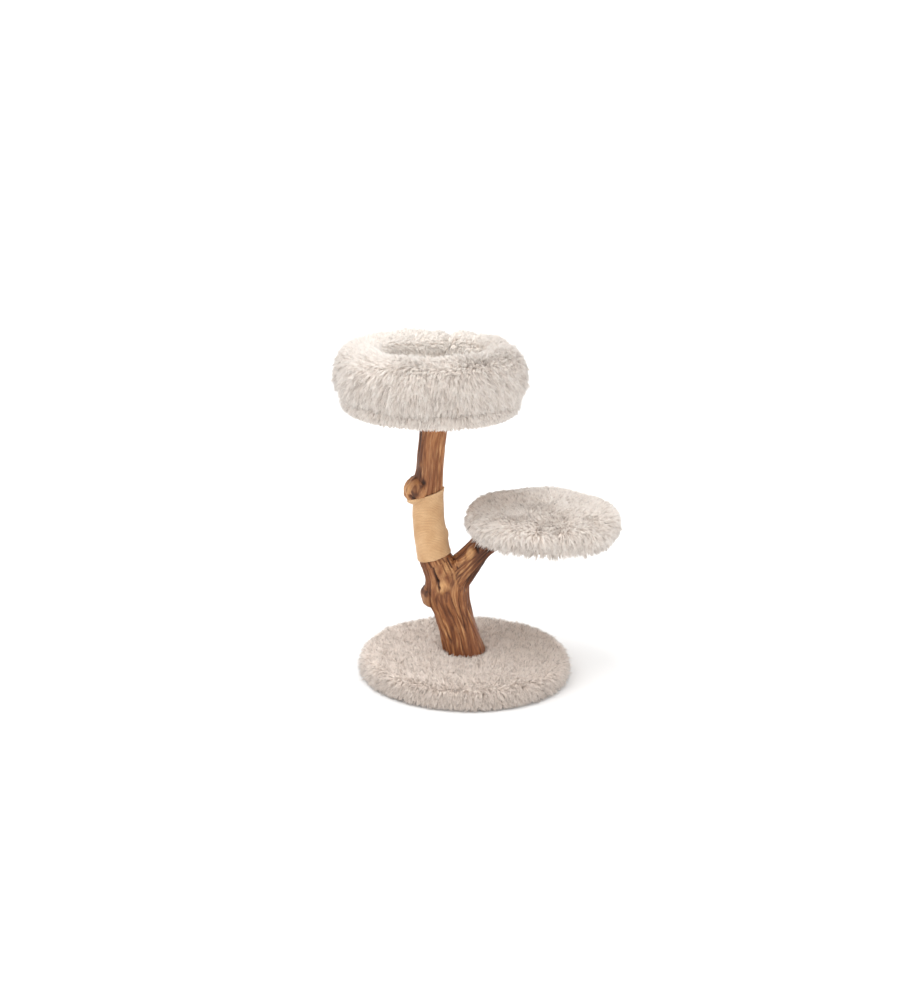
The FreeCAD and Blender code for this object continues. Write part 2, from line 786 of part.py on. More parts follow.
def make_pads(doc, label, x, level, ring):
    """Four round hook-and-loop pads on a circle."""
    body = new_body(doc, label, x)
    sketch = new_sketch(body, label + "_outline", "XY_Plane", level)
    circle(sketch, "hook_radius", ring)
    around(body, [pad(body, sketch, "hook_thick")], (sketch, ["N_Axis"]), HOOK_COUNT)
    doc.recompute()


# ---------------------------------------------------------------- top bed

TOP_FACE = "top_level + board_thick"
BED_LOW = TOP_FACE + " + hook_thick + hook_thick"
BED_FLOOR = BED_LOW + " + cloth_thick"
BOLSTER_LOW = BED_FLOOR + " + soft_gap"
NEST_LOW = BED_FLOOR + " + soft_gap"


def make_top_bed(doc):
    """The ring-shaped bed: its cloth floor, the skirt round the board, and the stuffed bolster."""
    disc(doc, "bed_floor", "top_board_x", "skirt_inside - soft_gap", BED_LOW, "cloth_thick")
    revolved(
        doc, "bed_skirt", "top_board_x", soft_profile,
        "skirt_inside", "skirt_outside", "top_level - skirt_drop", BED_FLOOR, "skirt_round",
    )
    cover = revolved(
        doc, "bolster_cover", "top_board_x", soft_profile,
        "bolster_inside", "bolster_outside", BOLSTER_LOW, BOLSTER_LOW + " + bolster_high", "bolster_round",
    )
    hollow(
        doc, cover, "bolster_inside_space", soft_profile,
        "bolster_inside + bolster_skin", "bolster_outside - bolster_skin",
        BOLSTER_LOW + " + bolster_skin", BOLSTER_LOW + " + bolster_high - bolster_skin", "fill_round",
    )
    revolved(
        doc, "bolster_filling", "top_board_x", soft_profile,
        "bolster_inside + bolster_skin + soft_gap", "bolster_outside - bolster_skin - soft_gap",
        BOLSTER_LOW + " + bolster_skin + soft_gap",
        BOLSTER_LOW + " + bolster_high - bolster_skin - soft_gap", "fill_round",
    )


def make_nest_cushion(doc):
    """The loose cushion inside the bolster: foam in a fur cover."""
    cover = revolved_cushion(
        doc, "nest_cover", "top_board_x", "nest_radius", NEST_LOW, NEST_LOW + " + nest_high", "nest_round"
    )
    foam_low, foam_high = NEST_LOW + " + nest_floor_skin", NEST_LOW + " + nest_high - nest_skin"
    hollow(
        doc, cover, "nest_space", box_profile, "0", "nest_radius - nest_skin", foam_low, foam_high
    )
    disc(
        doc, "nest_foam", "top_board_x", "nest_radius - nest_skin - soft_gap",
        foam_low + " + soft_gap", "nest_high - nest_skin - nest_floor_skin - soft_gap - soft_gap",
        "nest_foam_round",
    )


def revolved_cushion(doc, label, x, radius, low, high, corner):
    """A round cushion with both rims well rounded."""
    body = revolved(doc, label, x, box_profile, "0", radius, low, high)
    round_edges(doc, body, corner, radius, [low, high])
    return body


# ---------------------------------------------------------------- perch cushion

PERCH_FACE = "perch_level + board_thick"
PERCH_BASE = PERCH_FACE + " + hook_thick + hook_thick"
PERCH_FOAM = PERCH_BASE + " + cloth_thick"


def make_perch_cushion(doc):
    """The perch cushion: foam on a base cloth, under a fur cover whose skirt hides the board's rim."""
    cover = revolved_cushion(
        doc, "perch_cover", "perch_x", "perch_fur_radius",
        "perch_fur_low", "perch_fur_low + perch_fur_high", "perch_fur_round",
    )
    hollow(
        doc, cover, "perch_cover_skirt", box_profile,
        "0", "perch_skirt_inside", "perch_fur_low - soft_gap", PERCH_FOAM,
    )
    hollow(
        doc, cover, "perch_cover_space", box_profile,
        "0", "perch_foam_radius + soft_gap", PERCH_FOAM + " - soft_gap",
        PERCH_FOAM + " + perch_foam_high + soft_gap",
    )
    disc(doc, "perch_base_cloth", "perch_x", "perch_skirt_inside - soft_gap", PERCH_BASE, "cloth_thick")
    disc(doc, "perch_foam", "perch_x", "perch_foam_radius", PERCH_FOAM, "perch_foam_high", "foam_round")


# ---------------------------------------------------------------- the whole tree


def check(doc):
    """Stops if any object failed, or any sub-part's shape is null or invalid."""
    for thing in doc.Objects:
        if "Invalid" in thing.State or "Error" in thing.State:
            raise RuntimeError(f"{thing.Name} is {thing.State}")
    for thing in sub_parts(doc):
        if thing.Shape.isNull() or not thing.Shape.isValid() or not thing.Shape.Solids:
            raise RuntimeError(thing.Label + " has no valid solid")


def sub_parts(doc):
    return [t for t in doc.Objects if t.TypeId in ("PartDesign::Body", "Part::Feature")]


def main():
    doc = FreeCAD.newDocument("cat_tree")
    fill_sheet(doc)
    make_base_board(doc)
    make_base_padding(doc)
    make_base_cover(doc)
    make_base_lining(doc)
    make_feet(doc)
    make_foot_screws(doc)
    make_base_staples(doc)
    make_trunk(doc)
    make_lag_screws(doc)
    make_sleeve(doc)
    make_sleeve_staples(doc)
    make_platform(
        doc, "top", "top_board_x", "top_board_radius", "top_level",
        "top_screw_x", "top_screw_ring", "screw_long",
    )
    make_platform(
        doc, "perch", "perch_x", "perch_board_radius", "perch_level",
        "perch_screw_x", "0 - perch_screw_ring", "screw_short",
    )
    make_pads(doc, "top_hook_pads", "top_board_x", TOP_FACE, "hook_ring")
    make_pads(doc, "bed_loop_pads", "top_board_x", TOP_FACE + " + hook_thick", "hook_ring")
    make_pads(doc, "perch_hook_pads", "perch_x", PERCH_FACE, "perch_hook_ring")
    make_pads(doc, "perch_loop_pads", "perch_x", PERCH_FACE + " + hook_thick", "perch_hook_ring")
    make_top_bed(doc)
    make_nest_cushion(doc)
    make_perch_cushion(doc)
    doc.recompute()
    check(doc)
    os.makedirs("parts", exist_ok=True)
    for thing in sub_parts(doc):
        thing.Shape.exportStep(f"parts/{thing.Label}.step")
        print(f"{thing.Label:18s} solids {len(thing.Shape.Solids):3d}  volume {thing.Shape.Volume:12.0f} mm3")


main()
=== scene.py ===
import math

import bpy
import numpy as np
from mathutils import Euler, Matrix, Vector, noise
from mathutils.bvhtree import BVHTree
from mathutils.kdtree import KDTree


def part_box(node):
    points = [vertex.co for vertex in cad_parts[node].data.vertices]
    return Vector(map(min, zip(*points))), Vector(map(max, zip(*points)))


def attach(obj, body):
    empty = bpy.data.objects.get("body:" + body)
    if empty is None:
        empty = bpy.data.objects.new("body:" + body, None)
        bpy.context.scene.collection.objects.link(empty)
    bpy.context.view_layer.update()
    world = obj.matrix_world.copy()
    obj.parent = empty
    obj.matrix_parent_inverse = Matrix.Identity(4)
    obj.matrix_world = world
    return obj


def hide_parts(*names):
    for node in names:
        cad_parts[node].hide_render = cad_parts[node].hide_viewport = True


# A furry cat tree on a natural branch. The soft pieces are skins swollen by cloth simulation with fur of
# real strands; the trunk is carved wood, and the scratch sleeve is woven cloth. Metres, +Z up, front -Y.

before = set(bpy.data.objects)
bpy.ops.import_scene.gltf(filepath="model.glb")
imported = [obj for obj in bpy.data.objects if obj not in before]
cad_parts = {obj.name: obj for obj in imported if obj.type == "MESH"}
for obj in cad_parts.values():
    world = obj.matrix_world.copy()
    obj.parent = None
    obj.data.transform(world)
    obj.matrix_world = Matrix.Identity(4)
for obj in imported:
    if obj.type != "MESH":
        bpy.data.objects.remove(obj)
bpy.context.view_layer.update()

FUR_SHARE = 1.0


# ---------------------------------------------------------------- places, from the frame


def middle(node):
    low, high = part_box(node)
    return (low + high) / 2


BASE_CENTRE = middle("base_board")
BED_CENTRE = middle("top_board")
PERCH_CENTRE = middle("perch_board")
BOARD_RADIUS = (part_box("base_board")[1].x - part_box("base_board")[0].x) / 2
PADDING_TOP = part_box("base_padding")[1].z
BED_FLOOR_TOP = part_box("bed_floor")[1].z
TOP_BOARD_RADIUS = (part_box("top_board")[1].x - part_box("top_board")[0].x) / 2
PERCH_BOARD_RADIUS = (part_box("perch_board")[1].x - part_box("perch_board")[0].x) / 2
PERCH_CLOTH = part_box("perch_base_cloth")
PERCH_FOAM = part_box("perch_foam")
NEST_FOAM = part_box("nest_foam")

# The middle line of the stem and of the limb, with the radius at each point, as the CAD trunk has them.
STEM_LINE = [
    (0.0015, 0.000, 0.0265, 0.0505),
    (-0.012, 0.001, 0.098, 0.047),
    (-0.040, 0.003, 0.185, 0.0475),
    (-0.064, 0.002, 0.262, 0.0445),
    (-0.0785, 0.000, 0.296, 0.0375),
    (-0.084, 0.000, 0.325, 0.036),
    (-0.094, 0.002, 0.410, 0.0325),
    (-0.092, 0.002, 0.500, 0.0305),
    (-0.085, 0.000, 0.650, 0.034),
]
LUMPS = [  # the sawn stub, the healed burr and the swelling under the sleeve: centre and half sizes
    ((-0.122, -0.008, 0.446), (0.030, 0.027, 0.030)),
    ((-0.081, -0.008, 0.197), (0.020, 0.020, 0.027)),
    ((-0.065, 0.000, 0.338), (0.0165, 0.018, 0.022)),
]
LUMP_WEB = 0.026
LIMB_LINE = [
    (-0.048, 0.000, 0.205, 0.036),
    (-0.021, 0.000, 0.243, 0.0335),
    (0.011, -0.002, 0.286, 0.0305),
    (0.036, -0.003, 0.317, 0.0285),
    (0.070, -0.002, 0.338, 0.0275),
    (0.106, 0.000, 0.350, 0.024),
]


# ---------------------------------------------------------------- small tools


def ripple(seed, wavelength, count=8):
    """A smooth random field of about one wavelength, mostly between -1 and 1."""
    random = np.random.default_rng(seed)
    waves = random.normal(size=(count, 3))
    waves /= np.linalg.norm(waves, axis=1, keepdims=True)
    waves *= 2 * math.pi / wavelength * random.uniform(0.6, 1.6, (count, 1))
    phases = random.uniform(0, 2 * math.pi, count)
    return lambda points: np.sin(points @ waves.T + phases).sum(axis=1) / math.sqrt(count)


def unit(vectors):
    return vectors / np.maximum(np.linalg.norm(vectors, axis=-1, keepdims=True), 1e-9)


def new_mesh(name, points, *faces):
    """A smooth-shaded mesh from points and arrays of faces, each array with one number of corners."""
    mesh = bpy.data.meshes.new(name)
    mesh.vertices.add(len(points))
    mesh.vertices.foreach_set("co", np.asarray(points, np.float32).ravel())
    corners = np.concatenate([f.ravel() for f in faces]).astype(np.int32)
    counts = np.concatenate([np.full(len(f), f.shape[1]) for f in faces])
    starts = np.concatenate([[0], np.cumsum(counts)[:-1]]).astype(np.int32)
    mesh.loops.add(len(corners))
    mesh.loops.foreach_set("vertex_index", corners)
    mesh.polygons.add(len(counts))
    mesh.polygons.foreach_set("loop_start", starts)
    mesh.polygons.foreach_set("use_smooth", np.ones(len(counts), bool))
    mesh.update(calc_edges=True)
    return mesh


def new_object(name, mesh):
    obj = bpy.data.objects.new(name, mesh)
    bpy.context.scene.collection.objects.link(obj)
    return obj


def get_points(mesh):
    points = np.empty(len(mesh.vertices) * 3, np.float32)
    mesh.vertices.foreach_get("co", points)
    return points.reshape(-1, 3).astype(float)


def get_normals(mesh):
    normals = np.empty(len(mesh.vertices) * 3, np.float32)
    mesh.vertex_normals.foreach_get("vector", normals)
    return normals.reshape(-1, 3).astype(float)


def set_points(mesh, points):
    mesh.vertices.foreach_set("co", np.asarray(points, np.float32).ravel())
    mesh.update()


def applied(obj):
    """The object's mesh with its modifiers applied, put in their place."""
    graph = bpy.context.evaluated_depsgraph_get()
    mesh = bpy.data.meshes.new_from_object(obj.evaluated_get(graph), depsgraph=graph)
    obj.modifiers.clear()
    obj.data = mesh
    mesh.polygons.foreach_set("use_smooth", np.ones(len(mesh.polygons), bool))
    return mesh


def remesh(obj, voxel):
    modifier = obj.modifiers.new("voxels", "REMESH")
    modifier.mode = "VOXEL"
    modifier.voxel_size = voxel
    modifier.use_smooth_shade = True
    return applied(obj)


def place(obj, body, material):
    """Gives a finished piece its body and its material."""
    obj.data.materials.clear()
    obj.data.materials.append(material)
    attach(obj, body)


def distance_from(centre, points):
    """The level distance of each point from an upright axis."""
    return np.linalg.norm(points[:, :2] - np.array(centre)[:2], axis=1)


def straight_up(rise):
    return np.stack([0 * rise, 0 * rise, rise], -1)


# ---------------------------------------------------------------- materials


def srgb(red, green, blue):
    """A colour given as 0 to 255, as the linear values that the nodes take."""
    shares = [c / 255 for c in (red, green, blue)]
    return (*[((s + 0.055) / 1.055) ** 2.4 if s > 0.04 else s / 12.92 for s in shares], 1)


class Paint:
    """A node material with a Principled shader, built up by short calls."""

    def __init__(self, name, roughness=0.6, **sockets):
        self.material = bpy.data.materials.new(name)
        self.material.use_nodes = True
        self.tree = self.material.node_tree
        self.shader = self.tree.nodes["Principled BSDF"]
        self.shader.inputs["Roughness"].default_value = roughness
        for socket, value in sockets.items():
            self.shader.inputs[socket.replace("_", " ")].default_value = value

    def node(self, kind, inputs=(), **settings):
        node = self.tree.nodes.new("ShaderNode" + kind)
        for key, value in settings.items():
            setattr(node, key, value)
        for key, value in dict(inputs).items():
            self.put(value, node.inputs[key])
        return node

    def put(self, value, socket):
        """A link if the value is a socket, and a plain number or colour if not."""
        if isinstance(value, bpy.types.NodeSocket):
            self.tree.links.new(value, socket)
        else:
            socket.default_value = value

    def attribute(self, name):
        return self.node("Attribute", attribute_name=name)

    def noise(self, vector, scale, detail=4.0, roughness=0.55, distortion=0.0):
        inputs = {"Vector": vector, "Scale": scale, "Detail": detail}
        inputs |= {"Roughness": roughness, "Distortion": distortion}
        return self.node("TexNoise", inputs).outputs["Fac"]

    def stretch(self, vector, scale):
        return self.node("Mapping", {"Vector": vector, "Scale": scale}).outputs["Vector"]

    def ramp(self, fac, *stops):
        ramp = self.node("ValToRGB", {"Fac": fac})
        elements = ramp.color_ramp.elements
        while len(elements) < len(stops):
            elements.new(0.5)
        for element, (position, colour) in zip(elements, stops):
            element.position = position
            element.color = colour if hasattr(colour, "__len__") else (colour,) * 3 + (1,)
        return ramp.outputs["Color"]

    def mix(self, fac, first, second, blend="MIX"):
        mix = self.node("Mix", data_type="RGBA", blend_type=blend)
        for value, socket in ((fac, mix.inputs[0]), (first, mix.inputs[6]), (second, mix.inputs[7])):
            self.put(value, socket)
        return mix.outputs[2]

    def math(self, operation, first, second=0.0):
        node = self.node("Math", operation=operation)
        self.put(first, node.inputs[0])
        self.put(second, node.inputs[1])
        return node.outputs[0]

    def where(self):
        return self.node("TexCoord").outputs["Object"]

    def colour(self, socket):
        self.put(socket, self.shader.inputs["Base Color"])

    def rough(self, socket):
        self.put(socket, self.shader.inputs["Roughness"])

    def bump(self, height, distance, strength=0.6):
        bump = self.node("Bump", {"Height": height, "Distance": distance, "Strength": strength})
        self.put(bump.outputs["Normal"], self.shader.inputs["Normal"])


FUR_MAP = "OFBake"  # the strands' own map: across is a strand's tone, and up is from its root to its tip


def fur_paint(name, root, body, tip, pale):
    """Strands that go from a dark root to a light tip, each with a tone of its own."""
    paint = Paint(name, roughness=0.62, Sheen_Weight=0.25, Sheen_Roughness=0.5, Specular_IOR_Level=0.25)
    place_on_strand = paint.node("SeparateXYZ", {"Vector": paint.node("UVMap", uv_map=FUR_MAP).outputs[0]})
    tone, along = place_on_strand.outputs["X"], place_on_strand.outputs["Y"]
    shade = paint.ramp(along, (0.0, root), (0.42, body), (0.85, tip))
    toned = paint.mix(paint.ramp(tone, (0.15, 0.0), (0.95, 1.0)), shade, pale)
    strength = paint.ramp(tone, (0.0, 0.58), (0.5, 1.0))
    paint.colour(paint.mix(1.0, toned, strength, "MULTIPLY"))
    return paint.material


def backing_paint():
    """The knitted cloth that the fur grows from, and the plain underside of the cushions."""
    paint = Paint("fur_backing", roughness=0.9, Sheen_Weight=0.2)
    where = paint.where()
    knit = paint.node("TexWave", {"Vector": where, "Scale": 380.0, "Distortion": 2.0}, bands_direction="Z")
    mottle = paint.noise(where, 60.0)
    cloth = paint.ramp(mottle, (0.3, srgb(196, 180, 168)), (0.7, srgb(214, 199, 187)))
    paint.colour(paint.mix(knit.outputs["Fac"], cloth, srgb(204, 188, 176)))
    paint.bump(knit.outputs["Fac"], 0.0006)
    return paint.material


def wood_paint():
    """Oiled branch wood: pale ribs, red-brown flanks and dark furrows, darker low down than high up. The
    darkening in its hollows is partly painted shade, and the upper stem's lighter colour is partly painted
    light against the bed's shade.
    """
    paint = Paint("branch_wood", roughness=0.5, Specular_IOR_Level=0.3)
    grain = paint.attribute("grain").outputs["Vector"]
    dark_bark_and_shade = paint.attribute("dark_bark_and_shade").outputs["Fac"]
    pale = paint.attribute("pale").outputs["Fac"]
    where = paint.where()
    height = paint.node("SeparateXYZ", {"Vector": where}).outputs["Z"]
    fibre = paint.noise(paint.stretch(grain, (1.0, 1.0, 0.045)), 900.0, 5.0, 0.6)
    streak = paint.noise(paint.stretch(grain, (1.0, 1.0, 0.10)), 190.0, 4.0, 0.6, 0.4)
    patch = paint.noise(paint.stretch(grain, (1.0, 1.0, 0.35)), 34.0, 3.0)
    furrow, flank, rib = srgb(104, 60, 34), srgb(148, 94, 55), srgb(194, 143, 96)
    low = paint.ramp(streak, (0.34, furrow), (0.50, flank), (0.68, rib))
    # The upper stem's colours are lighter, partly as painted light against the shade that the bed casts on
    # it.
    furrow, flank, rib = srgb(140, 88, 52), srgb(178, 122, 78), srgb(208, 158, 112)
    high = paint.ramp(streak, (0.32, furrow), (0.50, flank), (0.68, rib))
    up = paint.node("MapRange", {"Value": height, "From Min": 0.30, "From Max": 0.46}).outputs[0]
    wood = paint.mix(up, low, high)
    wood = paint.mix(paint.ramp(patch, (0.42, 0.0), (0.66, 0.75)), wood, srgb(118, 68, 42))
    wood = paint.mix(pale, wood, srgb(206, 158, 108))
    wood = paint.mix(0.8, wood, paint.ramp(fibre, (0.3, 0.74), (0.62, 1.08)), "MULTIPLY")
    # Darkening: furrows, knot pits and clefts go dark, partly as the bark's own colour and partly as painted
    # shade in the hollows; the limb's underside and the stub where it meets the stem are painted shade.
    wood = paint.mix(paint.ramp(dark_bark_and_shade, (0.22, 0.0), (0.60, 0.9)), wood, srgb(104, 60, 36))
    paint.colour(paint.mix(paint.ramp(dark_bark_and_shade, (0.55, 0.0), (1.0, 1.0)), wood, srgb(58, 34, 22)))
    paint.rough(paint.ramp(fibre, (0.3, 0.60), (0.7, 0.40)))
    paint.bump(fibre, 0.0007, 0.7)
    return paint.material


def jute_paint():
    """Woven jute: pale tan yarns with darker gaps and fine fibres."""
    paint = Paint("woven_jute", roughness=0.85, Sheen_Weight=0.15)
    where = paint.where()
    weave = paint.attribute("weave").outputs["Fac"]
    yarn = paint.noise(paint.stretch(where, (1.0, 1.0, 3.0)), 420.0, 4.0, 0.65)
    patch = paint.noise(where, 26.0, 3.0)
    tan = paint.ramp(patch, (0.3, srgb(194, 152, 108)), (0.7, srgb(217, 179, 136)))
    tan = paint.mix(0.55, tan, paint.ramp(yarn, (0.3, 0.72), (0.65, 1.12)), "MULTIPLY")
    paint.colour(paint.mix(paint.ramp(weave, (0.0, 0.85), (0.5, 0.0)), tan, srgb(150, 108, 68)))
    paint.bump(yarn, 0.0004, 0.6)
    return paint.material


def board_paint():
    """Fibreboard: a fine speckle of pressed fibres."""
    paint = Paint("fibreboard", roughness=0.75)
    where = paint.where()
    speck = paint.noise(where, 900.0, 3.0, 0.7)
    cloud = paint.noise(where, 30.0, 2.0)
    board = paint.ramp(speck, (0.3, srgb(150, 118, 84)), (0.7, srgb(192, 160, 122)))
    paint.colour(paint.mix(paint.ramp(cloud, (0.3, 0.0), (0.7, 0.4)), board, srgb(168, 136, 100)))
    paint.bump(speck, 0.0002)
    return paint.material


def steel_paint():
    """Zinc-plated steel with a faint spangle."""
    paint = Paint("zinc_steel", roughness=0.32, Metallic=1.0)
    spangle = paint.node("TexVoronoi", {"Vector": paint.where(), "Scale": 420.0}).outputs["Color"]
    grey = paint.node("SeparateColor", {"Color": spangle}).outputs[0]
    paint.colour(paint.ramp(grey, (0.2, srgb(186, 189, 194)), (0.8, srgb(214, 216, 218))))
    paint.rough(paint.ramp(grey, (0.0, 0.26), (1.0, 0.42)))
    return paint.material


def rubber_paint():
    paint = Paint("foot_rubber", roughness=0.8)
    grit = paint.noise(paint.where(), 700.0, 3.0)
    paint.colour(paint.ramp(grit, (0.3, srgb(26, 26, 27)), (0.7, srgb(44, 43, 42))))
    paint.bump(grit, 0.0002)
    return paint.material


def lining_paint():
    """Plain woven lining: threads over and under in both directions."""
    paint = Paint("woven_lining", roughness=0.85, Sheen_Weight=0.1)
    where = paint.where()
    warp = paint.node("TexWave", {"Vector": where, "Scale": 300.0, "Distortion": 0.3}, bands_direction="X")
    weft = paint.node("TexWave", {"Vector": where, "Scale": 300.0, "Distortion": 0.3}, bands_direction="Y")
    weave = paint.math("MULTIPLY", warp.outputs["Fac"], weft.outputs["Fac"])
    paint.colour(paint.ramp(weave, (0.0, srgb(118, 107, 97)), (0.7, srgb(160, 148, 136))))
    paint.bump(weave, 0.0004)
    return paint.material


def cell_paint(name, scale, inner, outer, height, roughness):
    """A close field of pits or tufts, with a place and a colour for their middles and for their edges."""
    paint = Paint(name, roughness)
    cells = paint.node("TexVoronoi", {"Vector": paint.where(), "Scale": scale}).outputs["Distance"]
    paint.colour(paint.ramp(cells, inner, outer))
    paint.bump(cells, height)
    return paint.material


def floor_paint():
    paint = Paint("studio_floor", roughness=0.9, Specular_IOR_Level=0.1)
    faint = paint.noise(paint.where(), 3.0, 2.0)
    paint.colour(paint.ramp(faint, (0.0, 0.84), (1.0, 0.86)))
    return paint.material


# The colours of a strand's root, body and tip, and of the palest strands.
CREAM = ((218, 195, 178), (244, 227, 214), (253, 240, 229), (255, 248, 240))
SAND = ((194, 172, 156), (227, 209, 196), (239, 225, 213), (248, 236, 226))
FUR = fur_paint("long_fur", *[srgb(*c) for c in CREAM])
BASE_FUR = fur_paint("base_fur", *[srgb(*c) for c in SAND])
BACKING = backing_paint()
WOOD = wood_paint()
JUTE = jute_paint()
BOARD = board_paint()
STEEL = steel_paint()
RUBBER = rubber_paint()
LINING = lining_paint()
FOAM = cell_paint("open_foam", 650.0, (0.0, srgb(196, 186, 160)), (0.5, srgb(236, 230, 212)), 0.0008, 0.95)
HOOKS = cell_paint("hook_tape", 900.0, (0.05, srgb(214, 210, 200)), (0.6, srgb(150, 146, 138)), 0.0006, 0.8)
LOOPS = cell_paint("loop_tape", 500.0, (0.05, srgb(226, 221, 211)), (0.6, srgb(176, 170, 160)), 0.0006, 0.8)


# ---------------------------------------------------------------- skins


def lathe(profile, centre, segments=160):
    """A solid of revolution about an upright axis, from a closed outline of (radius, height)."""
    outline = np.array(profile)
    turn = np.linspace(0, 2 * math.pi, segments, endpoint=False)
    points = np.empty((segments, len(outline), 3))
    points[..., 0] = centre.x + np.outer(np.cos(turn), outline[:, 0])
    points[..., 1] = centre.y + np.outer(np.sin(turn), outline[:, 0])
    points[..., 2] = outline[:, 1]
    i, j = np.meshgrid(np.arange(segments), np.arange(len(outline)), indexing="ij")
    after_i, after_j = (i + 1) % segments, (j + 1) % len(outline)
    index = lambda a, b: a * len(outline) + b
    faces = np.stack([index(i, j), index(after_i, j), index(after_i, after_j), index(i, after_j)], -1)
    return points.reshape(-1, 3), faces.reshape(-1, 4)


def rounded_box(inside, outside, low, high, power=3.0, steps=48):
    """A closed outline between two radii and two heights, with corners rounder at a lower power."""
    turn = np.linspace(0, 2 * math.pi, steps, endpoint=False)
    across, up = np.cos(turn), np.sin(turn)
    bulge = lambda c: np.sign(c) * np.abs(c) ** (2 / power)
    radius = (inside + outside) / 2 + (outside - inside) / 2 * bulge(across)
    height = (low + high) / 2 + (high - low) / 2 * bulge(up)
    return np.stack([radius, height], -1)


def disc_outline(radius, low, high, power=3.0):
    """The right half of a rounded slab's outline, closed along the axis."""
    full = rounded_box(-radius, radius, low, high, power, 96)
    half = full[full[:, 0] >= -1e-9]
    half = half[np.argsort(np.arctan2(half[:, 1] - (low + high) / 2, half[:, 0]))]
    return np.concatenate([[[0.0, low]], half, [[0.0, high]]])


def swollen(name, shape, voxel, cap, rest_z=None, pressure=4.0):
    """A skin swollen as cloth under pressure, held within cap of its shape and kept above rest_z."""
    obj = new_object(name, new_mesh(name, *shape))
    mesh = remesh(obj, voxel)
    start = get_points(mesh)
    cloth = obj.modifiers.new("cloth", "CLOTH")
    cloth.settings.use_pressure = True
    cloth.settings.uniform_pressure_force = pressure
    cloth.settings.effector_weights.gravity = 0.0
    cloth.settings.tension_stiffness = 12.0
    cloth.settings.bending_stiffness = 0.4
    for step in range(1, 21):
        bpy.context.scene.frame_set(step)
    mesh = applied(obj)
    bpy.context.scene.frame_set(1)
    move = get_points(mesh) - start
    far = np.linalg.norm(move, axis=1, keepdims=True)
    points = start + move * np.minimum(1.0, cap / np.maximum(far, 1e-9))
    set_points(mesh, points)
    if rest_z is not None:
        points = get_points(mesh)
        points[:, 2] = np.maximum(points[:, 2], rest_z)
        set_points(mesh, points)
    return obj


def subdivided(obj):
    modifier = obj.modifiers.new("smooth", "SUBSURF")
    modifier.levels = modifier.render_levels = 1
    applied(obj)
    return obj


def cover(skin, body, node):
    """Makes a skin the fur-backed, padded cloth that stands for a CAD node."""
    place(skin, body, BACKING)
    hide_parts(node)


def moulded(obj, move):
    """Moves a skin's points by a function of their places and normals."""
    mesh = obj.data
    points = get_points(mesh)
    set_points(mesh, points + move(points, get_normals(mesh)))
    return obj


# ---------------------------------------------------------------- fur


def scatter(mesh, count, random, density=None):
    """Points and normals spread at random over a mesh, in proportion to area times density."""
    mesh.calc_loop_triangles()
    corners = np.empty(len(mesh.loop_triangles) * 3, np.int32)
    mesh.loop_triangles.foreach_get("vertices", corners)
    corners = corners.reshape(-1, 3)
    points, normals = get_points(mesh), get_normals(mesh)
    a, b, c = (points[corners[:, k]] for k in range(3))
    area = np.linalg.norm(np.cross(b - a, c - a), axis=1)
    if density is not None:
        area = area * density((a + b + c) / 3, unit(normals[corners].sum(axis=1)))
    chosen = random.choice(len(area), count, p=area / area.sum())
    u, v = random.random(count), random.random(count)
    over = u + v > 1
    u[over], v[over] = 1 - u[over], 1 - v[over]
    shares = np.stack([1 - u - v, u, v], -1)[..., None]
    mine = corners[chosen]
    return (points[mine] * shares).sum(axis=1), unit((normals[mine] * shares).sum(axis=1))


DOWN = np.array([0.0, 0.0, -1.0])
SKIN_SHADING = 0.4  # light scatters among real strands, so their shading leans to the skin's own
STRAND_TWIST = 2.4  # radians from one strand's first wall to the next one's, so that no two line up
ROOT_TAPER = 0.9


def strand_mesh(name, roots, bends, tips, sides, widths, tones, skin_normals):
    """Three-sided tapering strands: a ring at the root, a ring at the bend, and a point.

    The map holds a strand's tone across and the length along it upwards.
    """
    count = len(roots)
    along = unit(tips - roots)
    sides = unit(sides - (sides * along).sum(axis=1, keepdims=True) * along)
    others = np.cross(along, sides)
    start = np.arange(count) * STRAND_TWIST
    rings = []
    for k in range(3):
        angle = (start + k * 2 * math.pi / 3)[:, None]
        rings.append(np.cos(angle) * sides + np.sin(angle) * others)
    rings = np.stack(rings, axis=1)
    half = widths[:, None, None] / 2
    points = np.empty((count, 7, 3))
    points[:, 0:3] = roots[:, None] + rings * half * ROOT_TAPER
    points[:, 3:6] = bends[:, None] + rings * half
    points[:, 6] = tips
    first = (np.arange(count) * 7)[:, None]
    walls = np.array([[0, 1, 4, 3], [1, 2, 5, 4], [2, 0, 3, 5]])
    points_up = np.array([[3, 4, 6], [4, 5, 6], [5, 3, 6]])
    quads = (first[:, :, None] + walls).reshape(-1, 4)
    triangles = (first[:, :, None] + points_up).reshape(-1, 3)
    mesh = new_mesh(name, points.reshape(-1, 3), quads, triangles)
    across = tones[:, None] + np.array([-0.012, 0.0, 0.012, -0.012, 0.0, 0.012, 0.0])
    up = np.array([0.01, 0.01, 0.01, 0.5, 0.5, 0.5, 0.99])
    uv = np.stack([np.clip(across, 0.01, 0.99), np.tile(up, (count, 1))], -1).reshape(-1, 2)
    corners = np.empty(len(mesh.loops), np.int32)
    mesh.loops.foreach_get("vertex_index", corners)
    layer = mesh.uv_layers.new(name=FUR_MAP)
    layer.uv.foreach_set("vector", uv[corners].astype(np.float32).ravel())
    facing = np.concatenate([rings, rings, along[:, None]], axis=1) * (1 - SKIN_SHADING)
    facing = unit(facing + skin_normals[:, None] * SKIN_SHADING)
    mesh.normals_split_custom_set_from_vertices(facing.reshape(-1, 3).astype(np.float32))
    return mesh


